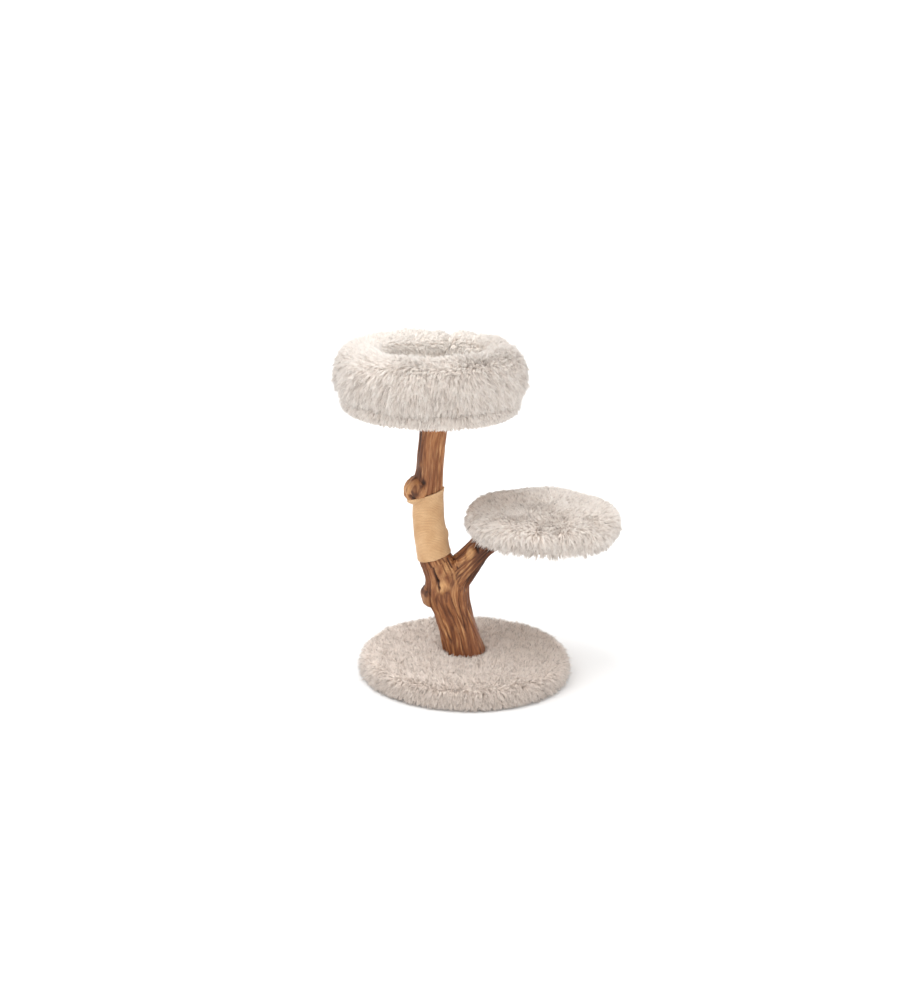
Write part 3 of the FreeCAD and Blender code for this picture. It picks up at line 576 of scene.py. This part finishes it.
def grow_fur(name, skin, body, paint, centre, strands, length, lift, flow, seed, sectors=1, width=0.0014,
             clump=0.0050, pull=0.6, droop=0.20, curl=0.20, wild=0.14, density=None, shade=None, limit=None):
    """Covers a skin with fur in locks: strands near one guide lean together and meet towards its tip.

    length is the mean length and lift the angle off the skin in degrees, each a number or a function of the
    places and normals. flow gives the way that the fur is brushed, and shade paints strands lighter or
    darker:
    painted light, used to offset the shade that the fur casts on itself.
    """
    random = np.random.default_rng(seed)
    strands = int(strands * FUR_SHARE)
    mesh = skin.data
    value = lambda f, p, n: f(p, n) if callable(f) else np.full(len(p), float(f))
    roots, normals = scatter(mesh, strands, random, density)
    area = sum(p.area for p in mesh.polygons)
    guides, guide_normals = scatter(mesh, max(40, int(area / clump**2)), random, density)
    tree = KDTree(len(guides))
    for i, point in enumerate(guides):
        tree.insert(point, i)
    tree.balance()
    owner = np.array([tree.find(p)[1] for p in roots])

    brushed = flow(guides, guide_normals)
    brushed = brushed + wild * random.normal(size=brushed.shape)
    brushed -= (brushed * guide_normals).sum(axis=1, keepdims=True) * guide_normals
    angle = np.radians(value(lift, guides, guide_normals) + random.normal(0, 6, len(guides)))
    lean = unit(brushed) * np.cos(angle)[:, None] + guide_normals * np.sin(angle)[:, None]
    twist = random.normal(size=lean.shape) * curl
    reach = value(length, guides, guide_normals) * random.uniform(0.9, 1.1, len(guides))

    own = unit(lean[owner] + 0.25 * wild * random.normal(size=(strands, 3)) + 0.12 * normals)
    lengths = (reach[owner] * random.uniform(0.75, 1.08, strands))[:, None]
    bend = DOWN * droop + 0.5 * twist[owner] + 0.12 * random.normal(size=(strands, 3))
    inward = guides[owner] - roots

    def along(s):
        return roots + lengths * (own * s + bend * s**2) + inward * pull * s**1.3

    bases, bends, tips = along(0.0), along(0.5), along(1.0)
    if limit is not None:
        bases, bends, tips = limit(bases), limit(bends), limit(tips)
    side = unit(np.cross(own, normals) + 0.35 * random.normal(size=(strands, 3)))
    widths = width * random.uniform(0.7, 1.3, strands)
    tones = 0.52 + 0.14 * random.normal(size=strands) + 0.21 * random.normal(size=len(guides))[owner]
    # shade is painted light: it shifts tones where the fur's own shade falls.
    if shade is not None:
        tones = tones + shade(guides, guide_normals)[owner]
    tones = np.clip(tones, 0.03, 0.97)

    turn = np.arctan2(guides[:, 1] - centre.y, guides[:, 0] - centre.x)[owner]
    sector = np.minimum(((turn + math.pi) / (2 * math.pi) * sectors).astype(int), sectors - 1)
    parts = (bases, bends, tips, side, widths, tones, normals)
    for k in range(sectors):
        label = f"{name}_{k + 1}" if sectors > 1 else name
        mesh = strand_mesh(label, *(part[sector == k] for part in parts))
        place(new_object(label, mesh), body, paint)


def sideways(out):
    """The level direction round an axis, from the direction away from it."""
    return np.cross(out, [0.0, 0.0, 1.0])


def steepness(normals):
    """0 where a surface faces up, and 1 where it is upright or faces down."""
    return np.clip(1 - normals[:, 2:3], 0, 1)


def outward(centre):
    """The level direction away from an upright axis."""

    def field(points):
        away = points - np.array(centre)
        away[:, 2] = 0
        return unit(away)

    return field


def keep_outside(centre, radius, below=1e9):
    """Moves points that are nearer an axis than radius out to it, if they are below a height."""

    def limit(points):
        away = points - np.array(centre)
        away[:, 2] = 0
        distance = np.linalg.norm(away, axis=1)
        near = (distance < radius) & (points[:, 2] < below)
        points[near] += away[near] / distance[near, None] * (radius - distance[near])[:, None]
        return points

    return limit


def keep_within(centre, radius, low):
    """Moves points that are farther from an axis than radius in to it, and up to a height."""

    def limit(points):
        away = points - np.array(centre)
        away[:, 2] = 0
        distance = np.linalg.norm(away, axis=1)
        far = distance > radius
        points[far] -= away[far] / distance[far, None] * (distance[far] - radius)[:, None]
        points[:, 2] = np.maximum(points[:, 2], low)
        return points

    return limit


# ---------------------------------------------------------------- base


def make_base():
    """The base's fur cover, pulled down over the padding and turned under the rim."""
    top = PADDING_TOP + 0.0035
    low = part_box("base_cover")[0].z
    outline = rounded_box(0.052, BOARD_RADIUS + 0.010, low, top + 0.012, 7.0, 72)
    skin = new_object("base_cover_skin", new_mesh("base_cover_skin", *lathe(outline, BASE_CENTRE)))
    remesh(skin, 0.004)
    lumps, swirl = ripple(11, 0.11), ripple(12, 0.05)

    def crown(points, normals):
        edge = np.clip((BOARD_RADIUS - distance_from(BASE_CENTRE, points)) / 0.06, 0, 1)
        return straight_up(np.clip(normals[:, 2], 0, 1) * (0.0010 * lumps(points) + 0.0015 * edge))

    moulded(skin, crown)
    cover(skin, "stand", "base_cover")
    away = outward(BASE_CENTRE)

    def flow(points, normals):
        out = away(points)
        across = sideways(out)
        turn = 1.3 * swirl(points)[:, None]
        level = out * np.cos(turn) + across * np.sin(turn) + np.array([0.0, -0.25, 0.0])
        steep = steepness(normals)
        return level * (1 - 0.6 * steep) + 1.3 * steep * DOWN + 0.4 * steep * out

    def open_air(points, normals):
        clear_of_trunk = (distance_from(BASE_CENTRE, points) > 0.07) | (normals[:, 2] > 0.5)
        return ((normals[:, 2] > -0.55) & clear_of_trunk) * 1.0

    def length(points, normals):
        return 0.013 + 0.005 * np.clip(1 - normals[:, 2], 0, 1)

    floor = lambda points: np.column_stack([points[:, :2], np.maximum(points[:, 2], 0.0015)])
    grow_fur("base_fur", skin, "stand", BASE_FUR, BASE_CENTRE, 106000, length, 52, flow, 21, sectors=6,
             clump=0.0040, pull=0.8, droop=0.10, curl=0.35, wild=0.5, density=open_air, limit=floor)


# ---------------------------------------------------------------- top bed


NEST_RADIUS = 0.1025
PARTING_RADIUS = 0.122  # where the fur parts: inside it, it is brushed into the nest
# Painted light: how much lighter the strands at the crest and in the nest are painted, to offset the shade
# that the fur casts on itself there.
NEST_PAINTED_LIGHT = 0.34


def make_bed():
    """The ring bed: a stuffed bolster, the skirt round the board, and the cushion in the nest."""
    centre = BED_CENTRE
    floor = BED_FLOOR_TOP + 0.0004
    outline = rounded_box(0.109, 0.203, floor - 0.006, 0.775, 2.5)
    skin = swollen("bolster_skin", lathe(outline, centre), 0.006, 0.004, floor)
    crease_turn, crease_width = math.radians(76), math.radians(5)
    lumps = ripple(31, 0.14)

    def settle(points, normals):
        turn = np.arctan2(points[:, 1] - centre.y, points[:, 0] - centre.x)
        crease = np.exp(-(((turn - crease_turn) / crease_width) ** 2))
        top = np.clip((points[:, 2] - floor) / 0.03, 0, 1)
        return normals * (top * (0.0028 * lumps(points) - 0.011 * crease))[:, None]

    moulded(skin, settle)
    subdivided(skin)
    cover(skin, "top_bed", "bolster_cover")
    away = outward(centre)
    swirl, lay = ripple(32, 0.13), ripple(33, 0.09)

    def flow(points, normals):
        out = away(points)
        side = np.clip((distance_from(centre, points)[:, None] - PARTING_RADIUS) / 0.010, -1, 1)
        across = sideways(out)
        steep = steepness(normals)
        flat = np.clip((normals[:, 2:3] - 0.3) / 0.6, 0, 1)
        round_ring = across * (0.7 * flat + 0.4 * swirl(points)[:, None])
        return out * side * (1.1 - 0.5 * steep - 0.6 * flat) + round_ring + DOWN * (1.1 * steep + 0.1)

    def open_air(points, normals):
        thick = 1 + 0.6 * np.clip(normals[:, 2] / 0.6, 0, 1)
        return ((normals[:, 2] > -0.75) & (points[:, 2] > floor + 0.006)) * thick

    def length(points, normals):
        corner = np.where(normals[:, 2] > 0, 2.0, 1.0) * np.abs(normals[:, 2])
        corner = corner * np.sqrt(np.clip(1 - normals[:, 2] ** 2, 0, 1))
        inside = distance_from(centre, points) < PARTING_RADIUS - 0.004
        return np.where(inside, 0.016, 0.026 - 0.008 * corner) + 0.002 * lay(points)

    def lift(points, normals):
        return 27 + 12 * np.clip((normals[:, 2] - 0.15) / 0.8, 0, 1)

    # Painted light: strands at the crest and inside the ring are painted lighter, against the shade that the
    # fur casts there.
    def painted_light_inside(points, normals):
        return NEST_PAINTED_LIGHT * np.clip((0.184 - distance_from(centre, points)) / 0.03, 0, 1)

    nest = keep_outside(centre, NEST_RADIUS)
    # shade here is painted light, lightening the crest and the inside of the ring.
    grow_fur("bolster_fur", skin, "top_bed", FUR, centre, 168000, length, lift, flow, 41, sectors=9,
             clump=0.0047, pull=0.70, density=open_air, shade=painted_light_inside, limit=nest)

    low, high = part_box("bed_skirt")
    outline = rounded_box(TOP_BOARD_RADIUS + 0.002, TOP_BOARD_RADIUS + 0.014, low.z + 0.002, high.z, 3.0)
    skirt = new_object("bed_skirt_skin", new_mesh("bed_skirt_skin", *lathe(outline, centre, 220)))
    cover(skirt, "top_bed", "bed_skirt")

    def hang(points, normals):
        across = sideways(away(points))
        return away(points) * 0.35 + DOWN + 0.25 * across * swirl(points)[:, None]

    def outer(points, normals):
        return ((normals * away(points)).sum(axis=1) > 0.1) * 1.0

    def short(points, normals):
        return np.clip(points[:, 2] - low.z - 0.004, 0.007, 0.020)

    grow_fur("skirt_fur", skirt, "top_bed", FUR, centre, 30000, short, 30, hang, 43, sectors=2,
             density=outer, limit=keep_outside(centre, TOP_BOARD_RADIUS + 0.002))

    outline = disc_outline(0.093, floor, NEST_FOAM[1].z + 0.002, 3.2)
    cushion = swollen("nest_skin", lathe(outline, centre), 0.005, 0.006, floor)
    subdivided(cushion)
    cover(cushion, "nest_cushion", "nest_cover")

    def over(points, normals):
        return (normals[:, 2] > -0.1) * 1.0

    def around(points, normals):
        across = sideways(away(points))
        return away(points) * 0.5 + across * (0.6 + swirl(points)[:, None])

    # Painted light: every strand on the nest cushion is painted lighter, against the shade of the ring
    # around it.
    def painted_light_nest(points, normals):
        return np.full(len(points), NEST_PAINTED_LIGHT)

    # shade here is painted light over the whole cushion.
    grow_fur("nest_fur", cushion, "nest_cushion", FUR, centre, 21500, 0.015, 40, around, 45,
             density=over, shade=painted_light_nest, limit=keep_within(centre, NEST_RADIUS - 0.003, floor + 0.001))


# ---------------------------------------------------------------- perch


def make_perch():
    """The perch cushion: a crowned fur cover over foam, its rim hanging past the board's edge."""
    centre = PERCH_CENTRE
    low, high = PERCH_CLOTH[0].z - 0.011, PERCH_FOAM[1].z + 0.014
    outer = PERCH_BOARD_RADIUS + 0.018
    inner = PERCH_BOARD_RADIUS + 0.0017
    under = PERCH_CLOTH[1].z + 0.0002
    top = disc_outline(outer, low, high, 3.4)
    # the outline runs down the outside, up the inside of the rim, and in along the base cloth
    side = top[top[:, 1] > low + 0.004][1:]
    outline = np.concatenate([[[inner + 0.001, low + 0.001], [outer - 0.006, low]], side[side[:, 0] > 0],
                              [[0.0, high], [0.0, under], [inner, under]]])
    skin = swollen("perch_skin", lathe(outline, centre), 0.0045, 0.004)
    lumps = ripple(51, 0.10)

    def crown(points, normals):
        upper = np.clip(normals[:, 2], 0, 1) * (points[:, 2] > under + 0.01)
        dome = np.clip(1 - (distance_from(centre, points) / outer) ** 2, 0, 1)
        return straight_up(upper * (0.005 * dome + 0.0020 * lumps(points)))

    moulded(skin, crown)
    clear = keep_outside(centre, inner, below=under)
    set_points(skin.data, clear(get_points(skin.data)))
    subdivided(skin)
    cover(skin, "perch_cushion", "perch_cover")
    away = outward(centre)
    swirl = ripple(52, 0.06)

    def flow(points, normals):
        out = away(points)
        across = sideways(out)
        steep = steepness(normals)
        return out * (0.8 - 0.2 * steep) + across * 0.6 * swirl(points)[:, None] + DOWN * 0.8 * steep

    def open_air(points, normals):
        upper = (points[:, 2] > under + 0.003) & (normals[:, 2] > -0.6)
        facing_out = (normals * away(points)).sum(axis=1) > 0.2
        return (upper | facing_out) * 1.0

    def length(points, normals):
        return 0.015 + 0.006 * np.clip(1 - normals[:, 2], 0, 1)

    def lift(points, normals):
        return 50 - 20 * np.clip(1 - normals[:, 2], 0, 1)

    grow_fur("perch_fur", skin, "perch_cushion", FUR, centre, 84000, length, lift, flow, 61, sectors=5,
             clump=0.0044, pull=0.62, density=open_air, limit=keep_outside(centre, inner, below=under))


# ---------------------------------------------------------------- trunk


def nearest_on(line, points):
    """For each point, the distance to a line of (x, y, z, radius) less its radius, how far along it lies,
    and the angle round it."""
    line = np.array(line)
    best = np.full(len(points), 1e9)
    run, turn = np.zeros(len(points)), np.zeros(len(points))
    before = 0.0
    for start, stop in zip(line, line[1:]):
        step = stop[:3] - start[:3]
        size = np.linalg.norm(step)
        share = np.clip((points - start[:3]) @ step / size**2, 0, 1)
        centre = start[:3] + share[:, None] * step
        off = points - centre
        gap = np.linalg.norm(off, axis=1) - (start[3] + share * (stop[3] - start[3]))
        side = unit(np.cross(step, [0.0, 1.0, 0.0]))
        angle = np.arctan2(off @ side, -off[:, 1])
        closer = gap < best
        best = np.where(closer, gap, best)
        run = np.where(closer, before + share * size, run)
        turn = np.where(closer, angle, turn)
        before += size
    return best, run, turn


KNOTS = [  # place, radius, and how far it stands out
    ((-0.061, -0.046, 0.224), 0.0065, 0.0025),
    ((0.004, -0.032, 0.308), 0.0080, 0.0030),
    ((-0.104, -0.030, 0.196), 0.0060, 0.0010),
    ((-0.062, -0.022, 0.618), 0.0050, 0.0020),
    ((-0.118, -0.022, 0.512), 0.0045, 0.0020),
]

# Where the bark has worn away to pale wood: centre and half sizes.
WORN = [
    ((-0.045, -0.045, 0.262), (0.030, 0.020, 0.038)),
    ((-0.004, -0.035, 0.270), (0.020, 0.020, 0.024)),
    ((-0.140, -0.020, 0.450), (0.013, 0.020, 0.018)),
]

# Dark clefts, and painted shadow on the stub: two ends on the surface, half-width and depth. The shallowest
# are mostly colour, and the wider of them is painted shadow where the stub meets the stem.
CLEFTS_AND_SHADOWS = [
    ((-0.089, -0.030, 0.283), (-0.066, -0.042, 0.240), 0.0050, 0.0050),
    ((-0.066, -0.042, 0.240), (-0.060, -0.045, 0.205), 0.0030, 0.0040),
    ((-0.046, -0.047, 0.212), (-0.045, -0.046, 0.190), 0.0035, 0.0040),
    ((-0.060, -0.044, 0.180), (-0.040, -0.044, 0.130), 0.0030, 0.0035),
    ((-0.047, -0.024, 0.290), (-0.036, -0.030, 0.268), 0.0030, 0.0040),
    ((-0.030, -0.022, 0.290), (-0.022, -0.028, 0.268), 0.0025, 0.0035),
    ((0.016, -0.028, 0.330), (0.026, -0.034, 0.305), 0.0040, 0.0040),
    ((-0.103, -0.022, 0.470), (-0.112, -0.014, 0.500), 0.0050, 0.0030),
    ((-0.134, -0.028, 0.437), (-0.122, -0.034, 0.432), 0.0060, 0.0050),
    ((-0.106, -0.030, 0.468), (-0.117, -0.035, 0.446), 0.0090, 0.0015),
    ((-0.127, -0.034, 0.442), (-0.130, -0.034, 0.450), 0.0060, 0.0012),
]


worn_edge = ripple(81, 0.02)
FORK_WEB = 0.038
GRAIN_RADIUS = 0.042  # the grain's pattern is laid out on a round bar of this radius


def between(points, low, high, run):
    """How far up from one height and down from another a point is, as a share of run."""
    return np.clip((points[:, 2] - low) / run, 0, 1) * np.clip((high - points[:, 2]) / run, 0, 1)


def carve(points):
    """How far each point of the trunk moves along its normal, with its darkening (the bark's own dark and
    painted shade), grain and paleness.
    """
    stem_gap, stem_run, stem_turn = nearest_on(STEM_LINE, points)
    limb_gap, limb_run, limb_turn = nearest_on(LIMB_LINE, points)
    soft = 0.012
    stem_share = 1 / (1 + np.exp(np.clip((stem_gap - limb_gap) / soft * 2.2, -30, 30)))
    overlap = np.clip(1 - np.abs(stem_gap - limb_gap) / FORK_WEB, 0, 1)
    near_fork = (limb_gap < 0.03) & (stem_gap < 0.03)
    move = np.where(near_fork, overlap**2 * FORK_WEB / 4 * 0.6, 0.0)
    pale = np.zeros(len(points))
    dark_bark_and_shade = np.zeros(len(points))
    squeeze = np.ones(len(points))
    body_gap = np.minimum(stem_gap, limb_gap)
    for centre, halves in LUMPS:
        reach = (points - np.array(centre)) / halves
        lump_gap = (np.linalg.norm(reach, axis=1) - 1) * np.mean(halves)
        join = np.clip(1 - np.abs(lump_gap - body_gap) / LUMP_WEB, 0, 1)
        move += np.where((lump_gap < 0.02) & (body_gap < 0.02), join**2 * LUMP_WEB / 4, 0.0)
        on_lump = np.clip((body_gap - lump_gap) / 0.008, 0, 1)
        squeeze *= 1 - 0.7 * on_lump
        pale += 0.25 * on_lump
        knobbly = worn_edge(points)
        move += 0.0016 * on_lump * knobbly
        dark_bark_and_shade += 0.45 * on_lump * np.clip(knobbly - 0.1, 0, 1)
    grain = np.zeros((len(points), 3))
    for place_, ring, height in KNOTS:
        distance = np.linalg.norm((points - np.array(place_)) * [1, 1, 0.75], axis=1)
        squeeze *= 1 - 0.9 * np.exp(-((distance / (2.2 * ring)) ** 2))
        rim = np.exp(-(((distance - ring) / (0.45 * ring)) ** 2))
        pit = np.exp(-((distance / (0.45 * ring)) ** 2))
        move += height * rim - 1.2 * height * pit
        dark_bark_and_shade += 0.75 * pit
        pale += np.exp(-((distance / (1.5 * ring)) ** 2)) * (1 - pit)
    for centre, halves in WORN:
        reach = np.linalg.norm((points - np.array(centre)) / halves, axis=1)
        pale += 0.6 * np.clip(1.5 - reach, 0, 1) * (0.5 + 0.5 * worn_edge(points))
    for start, stop, wide, depth in CLEFTS_AND_SHADOWS:
        start, step = np.array(start), np.array(stop) - np.array(start)
        share = np.clip((points - start) @ step / (step @ step), 0, 1)
        distance = np.linalg.norm(points - start - share[:, None] * step, axis=1)
        cleft_and_shadow = np.exp(-((distance / (wide * (1 - 0.5 * share))) ** 2))
        move -= depth * cleft_and_shadow
        # A mark darkens in step with its depth; the shallow one where the stub meets the stem is painted
        # shadow.
        dark_bark_and_shade += cleft_and_shadow * min(1.0, depth / 0.003)
    stem_left = np.exp(-(((stem_turn - math.radians(58)) / math.radians(28)) ** 2))
    dark_bark_and_shade += 0.66 * stem_left * np.clip((points[:, 2] - 0.455) / 0.03, 0, 1)
    # The limb is darker out along its length, and its underside is painted shade.
    limb_underside_shade = np.exp(-(((limb_turn + math.radians(75)) / math.radians(40)) ** 2))
    dark_bark_and_shade += (1 - stem_share) * (0.22 + 0.55 * limb_underside_shade) * np.clip((points[:, 0] + 0.01) / 0.03, 0, 1)
    below_sleeve = np.clip((0.30 - points[:, 2]) / 0.03, 0, 1) * np.clip((points[:, 2] - 0.15) / 0.05, 0, 1)
    dark_bark_and_shade += 0.40 * stem_left * below_sleeve
    calm = 1 - 0.45 * np.clip((points[:, 2] - 0.40) / 0.10, 0, 1)
    stem, limb = (stem_share, stem_run, stem_turn, 0.0), (1 - stem_share, limb_run, limb_turn, 9.0)
    for share, run, turn, seed in (stem, limb):
        for i in np.nonzero(share > 0.02)[0]:
            wander = 0.5 * noise.noise((run[i] * 9, seed, math.cos(turn[i])))
            a = turn[i] + wander * 0.6
            x, y, t = math.cos(a) * GRAIN_RADIUS, math.sin(a) * GRAIN_RADIUS, run[i]
            flute = noise.noise((x * 34 + seed, y * 34, t * 6))
            furrow = noise.noise((x * 78 + seed, y * 78 + 3, t * 8)) * squeeze[i] + (1 - squeeze[i]) * 0.4
            rib = noise.noise((x * 170 + 5, y * 170 + seed, t * 11))
            crack = noise.noise((x * 330 + 7, y * 330 + seed, t * 19))
            split = math.exp(-((furrow / 0.13) ** 2))
            line = math.exp(-((crack / 0.14) ** 2))
            deep = split * (0.65 + 0.35 * flute)
            shape = 0.0045 * flute - 0.0044 * deep + 0.0018 * rib - 0.0007 * line
            move[i] += share[i] * squeeze[i] * calm[i] * shape
            # Furrows and the low parts of the ribs are painted darker and the flutes lighter: partly the
            # bark's own colour, partly painted shade in the hollows.
            dark = 0.80 * deep + 0.55 * max(0.0, -rib) + 0.22 * line - 0.25 * flute
            dark_bark_and_shade[i] += share[i] * squeeze[i] * calm[i] * dark
            grain[i] += share[i] * np.array([x, y, t])
    return move, np.clip(dark_bark_and_shade, 0, 1), grain, np.clip(pale, 0, 1)


def sleeve_depth(points):
    """How far inside the sleeve's two slanted ends a point on the stem is, in metres; negative outside."""
    low, high = SLEEVE_ENDS
    above = points[:, 2] - (low[1] + (points[:, 0] - low[0]) * math.tan(low[2]))
    below = (high[1] + (points[:, 0] - high[0]) * math.tan(high[2])) - points[:, 2]
    return np.minimum(above, below)


# The sleeve's lower and upper end: a point on its middle line, across and up, and the end's slant.
SLEEVE_ENDS = ((-0.076, 0.289, math.radians(18)), (-0.0955, 0.441, math.radians(17.5)))
TRUNK_FOOT, TRUNK_TOP, LIMB_TOP = 0.0268, 0.6495, 0.3447


def make_trunk():
    """The forked branch, from the CAD trunk: its joins webbed, and furrows carved along the grain."""
    trunk = new_object("branch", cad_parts["trunk"].data.copy())
    remesh(trunk, 0.0019)
    smooth = trunk.modifiers.new("smooth", "SMOOTH")
    smooth.factor, smooth.iterations = 0.5, 6
    mesh = applied(trunk)
    points, normals = get_points(mesh), get_normals(mesh)
    move, dark_bark_and_shade, grain, pale = carve(points)
    stem_gap = nearest_on(STEM_LINE, points)[0]
    limb_gap = nearest_on(LIMB_LINE, points)[0]
    wrapped = np.clip(sleeve_depth(points) / 0.003, 0, 1) * (stem_gap < limb_gap + 0.01)
    move = move * (1 - wrapped) - 0.0016 * wrapped
    ends = between(points, TRUNK_FOOT, TRUNK_TOP, 0.004)
    points = points + normals * (move * ends)[:, None]
    seat = (points[:, 0] > 0.01) & (points[:, 2] > LIMB_TOP)
    points[seat, 2] = LIMB_TOP
    points[:, 2] = np.clip(points[:, 2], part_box("trunk")[0].z + 0.0002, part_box("trunk")[1].z - 0.0002)
    set_points(mesh, points)
    mesh.attributes.new("dark_bark_and_shade", "FLOAT", "POINT").data.foreach_set("value", dark_bark_and_shade.astype(np.float32))
    mesh.attributes.new("pale", "FLOAT", "POINT").data.foreach_set("value", pale.astype(np.float32))
    layer = mesh.attributes.new("grain", "FLOAT_VECTOR", "POINT")
    layer.data.foreach_set("vector", grain.astype(np.float32).ravel())
    place(trunk, "stand", WOOD)
    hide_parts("trunk")


# ---------------------------------------------------------------- scratch sleeve


RIB_PITCH = 0.0034
WARPS = 54
CLOTH_THICKNESS = 0.0016


def make_sleeve():
    """The woven sleeve, with a folded hem at each end."""
    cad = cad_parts["scratch_sleeve"]
    tree = BVHTree.FromPolygons([v.co for v in cad.data.vertices], [p.vertices for p in cad.data.polygons])
    line = np.array(STEM_LINE)
    columns, rows = ((216, 176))
    low, high = SLEEVE_ENDS
    turns = 2 * math.pi * np.arange(columns) / columns
    ways = np.stack([np.sin(turns), np.cos(turns), 0 * turns], -1)
    radius = np.full((rows, columns), 0.036)
    grid = np.empty((rows, columns, 3))
    shares = 0.004 + 0.992 * np.arange(rows) / (rows - 1)
    for j in range(columns):
        for i in range(rows):
            inside = min(max(shares[i], 0.05), 0.95)
            z = low[1] + 0.5 * (high[1] - low[1])
            for _ in range(5):
                cx, cy = np.interp(z, line[:, 2], line[:, 0]), np.interp(z, line[:, 2], line[:, 1])
                x = cx + radius[i, j] * ways[j, 0]
                bottom = low[1] + (x - low[0]) * math.tan(low[2])
                top = high[1] + (x - high[0]) * math.tan(high[2])
                z = bottom + inside * (top - bottom)
                start = Vector((cx, cy, z)) + 0.1 * Vector(ways[j])
                hit = tree.ray_cast(start, -Vector(ways[j]))[0]
                if hit is not None and 0.1 - (start - hit).length > 0.025:
                    radius[i, j] = 0.1 - (start - hit).length
            z = bottom + shares[i] * (top - bottom)
            cx, cy = np.interp(z, line[:, 2], line[:, 0]), np.interp(z, line[:, 2], line[:, 1])
            grid[i, j] = (cx, cy, z) + radius[i, j] * ways[j]
    for _ in range(3):
        level = grid[:, :, :2]
        grid[:, :, :2] = (2 * level + np.roll(level, 1, 1) + np.roll(level, -1, 1)) / 4
    turn = np.arange(columns) / columns
    height = np.linspace(0, 1, rows)[:, None]
    drift = ripple(72, 0.035)(grid.reshape(-1, 3)).reshape(rows, columns)
    course = (grid[..., 2] - 0.12 * grid[..., 0]) / RIB_PITCH + 0.30 * drift
    rib = np.abs(np.sin(math.pi * course))
    over = 0.5 + 0.5 * np.cos(2 * math.pi * WARPS * turn[None] + math.pi * np.floor(course))
    sway = ripple(71, 0.05)
    weave = rib * (0.55 + 0.45 * over)
    hem = np.clip((height - 0.945) / 0.006, 0, 1) + np.clip((0.035 - height) / 0.006, 0, 1)
    slack = sway(grid.reshape(-1, 3)).reshape(rows, columns)
    push = 0.0003 + 0.0006 * weave + 0.0004 * slack + 0.0011 * hem
    grid += push[..., None] * ways[None]
    inner = grid - (CLOTH_THICKNESS + push)[..., None] * ways[None]
    points = np.concatenate([grid.reshape(-1, 3), inner.reshape(-1, 3)])
    i, j = np.meshgrid(np.arange(rows - 1), np.arange(columns), indexing="ij")
    here, above = i * columns, (i + 1) * columns
    after = (j + 1) % columns
    outer_faces = np.stack([here + j, above + j, above + after, here + after], -1).reshape(-1, 4)
    inner_faces = outer_faces[:, ::-1] + rows * columns
    k = np.arange(columns)
    n = (k + 1) % columns
    far = rows * columns
    last = (rows - 1) * columns
    bottom_rim = np.stack([k, n, n + far, k + far], -1)
    top_rim = np.stack([last + n, last + k, last + k + far, last + n + far], -1)
    mesh = new_mesh("sleeve_cloth", points, outer_faces, inner_faces, bottom_rim, top_rim)
    values = np.concatenate([weave.ravel(), np.full(weave.size, 0.5)]).astype(np.float32)
    mesh.attributes.new("weave", "FLOAT", "POINT").data.foreach_set("value", values)
    sleeve = new_object("sleeve_cloth", mesh)
    place(sleeve, "stand", JUTE)
    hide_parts("scratch_sleeve")
    around = np.linalg.norm(np.diff(grid[rows // 2], axis=0, append=grid[rows // 2][:1]), axis=1).sum()
    tall = np.linalg.norm(np.diff(grid[:, 0], axis=0), axis=1).sum()


# ---------------------------------------------------------------- CAD pieces that stay


def paint_cad():
    """The hard pieces keep their CAD shapes, and get their materials."""
    steel = "foot_screws base_staples trunk_lag_screws trunk_washers sleeve_staples top_screws perch_screws"
    groups = (
        (BOARD, "base_board top_board perch_board"),
        (FOAM, "base_padding nest_foam perch_foam bolster_filling"),
        (LINING, "base_lining bed_floor perch_base_cloth"),
        (RUBBER, "base_feet"),
        (STEEL, steel),
        (HOOKS, "top_hook_pads perch_hook_pads"),
        (LOOPS, "bed_loop_pads perch_loop_pads"),
    )
    for paint, nodes in groups:
        for node in nodes.split():
            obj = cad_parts[node]
            if not obj.material_slots:
                obj.data.materials.append(paint)
            for slot in obj.material_slots:
                slot.material = paint


# ---------------------------------------------------------------- stage, light and camera


FLOOR_SIZE = 400.0  # half of its side: far enough that the floor fills the view up to a pale horizon


def make_stage():
    corners = FLOOR_SIZE * np.array([[-1, -1, 0], [1, -1, 0], [1, 1, 0], [-1, 1, 0]])
    floor = new_object("floor", new_mesh("floor", corners, np.array([[0, 1, 2, 3]])))
    floor.data.materials.append(floor_paint())
    floor.location.z = -0.0002
    world = bpy.data.worlds.new("studio")
    world.use_nodes = True
    world.node_tree.nodes["Background"].inputs["Color"].default_value = (1.0, 1.0, 1.0, 1)
    world.node_tree.nodes["Background"].inputs["Strength"].default_value = 1.3
    bpy.context.scene.world = world
    light = bpy.data.lights.new("soft_sun", "SUN")
    light.energy, light.angle = 1.1, math.radians(40)
    lamp = bpy.data.objects.new("soft_sun", light)
    lamp.rotation_mode = "QUATERNION"
    lamp.rotation_quaternion = Vector((0.34, 0.30, -1.0)).to_track_quat("-Z", "Y")
    bpy.context.scene.collection.objects.link(lamp)
    bpy.context.scene.view_settings.view_transform = "Standard"


def make_camera():
    camera = bpy.data.cameras.new("camera")
    camera.lens = 65.7
    camera.shift_x, camera.shift_y = -0.007, 0.0019
    camera.clip_end = 1500.0
    obj = bpy.data.objects.new("camera", camera)
    look = Euler((math.radians(90 - 16.43), 0, 0)).to_matrix().to_4x4()
    roll = Matrix.Rotation(math.radians(1.51), 4, "Z")
    obj.matrix_world = Matrix.Translation((0, -4.0285, 1.6079)) @ look @ roll
    bpy.context.scene.collection.objects.link(obj)
    bpy.context.scene.camera = obj


make_camera()
make_stage()
make_base()
make_bed()
make_perch()
make_trunk()
make_sleeve()
paint_cad()
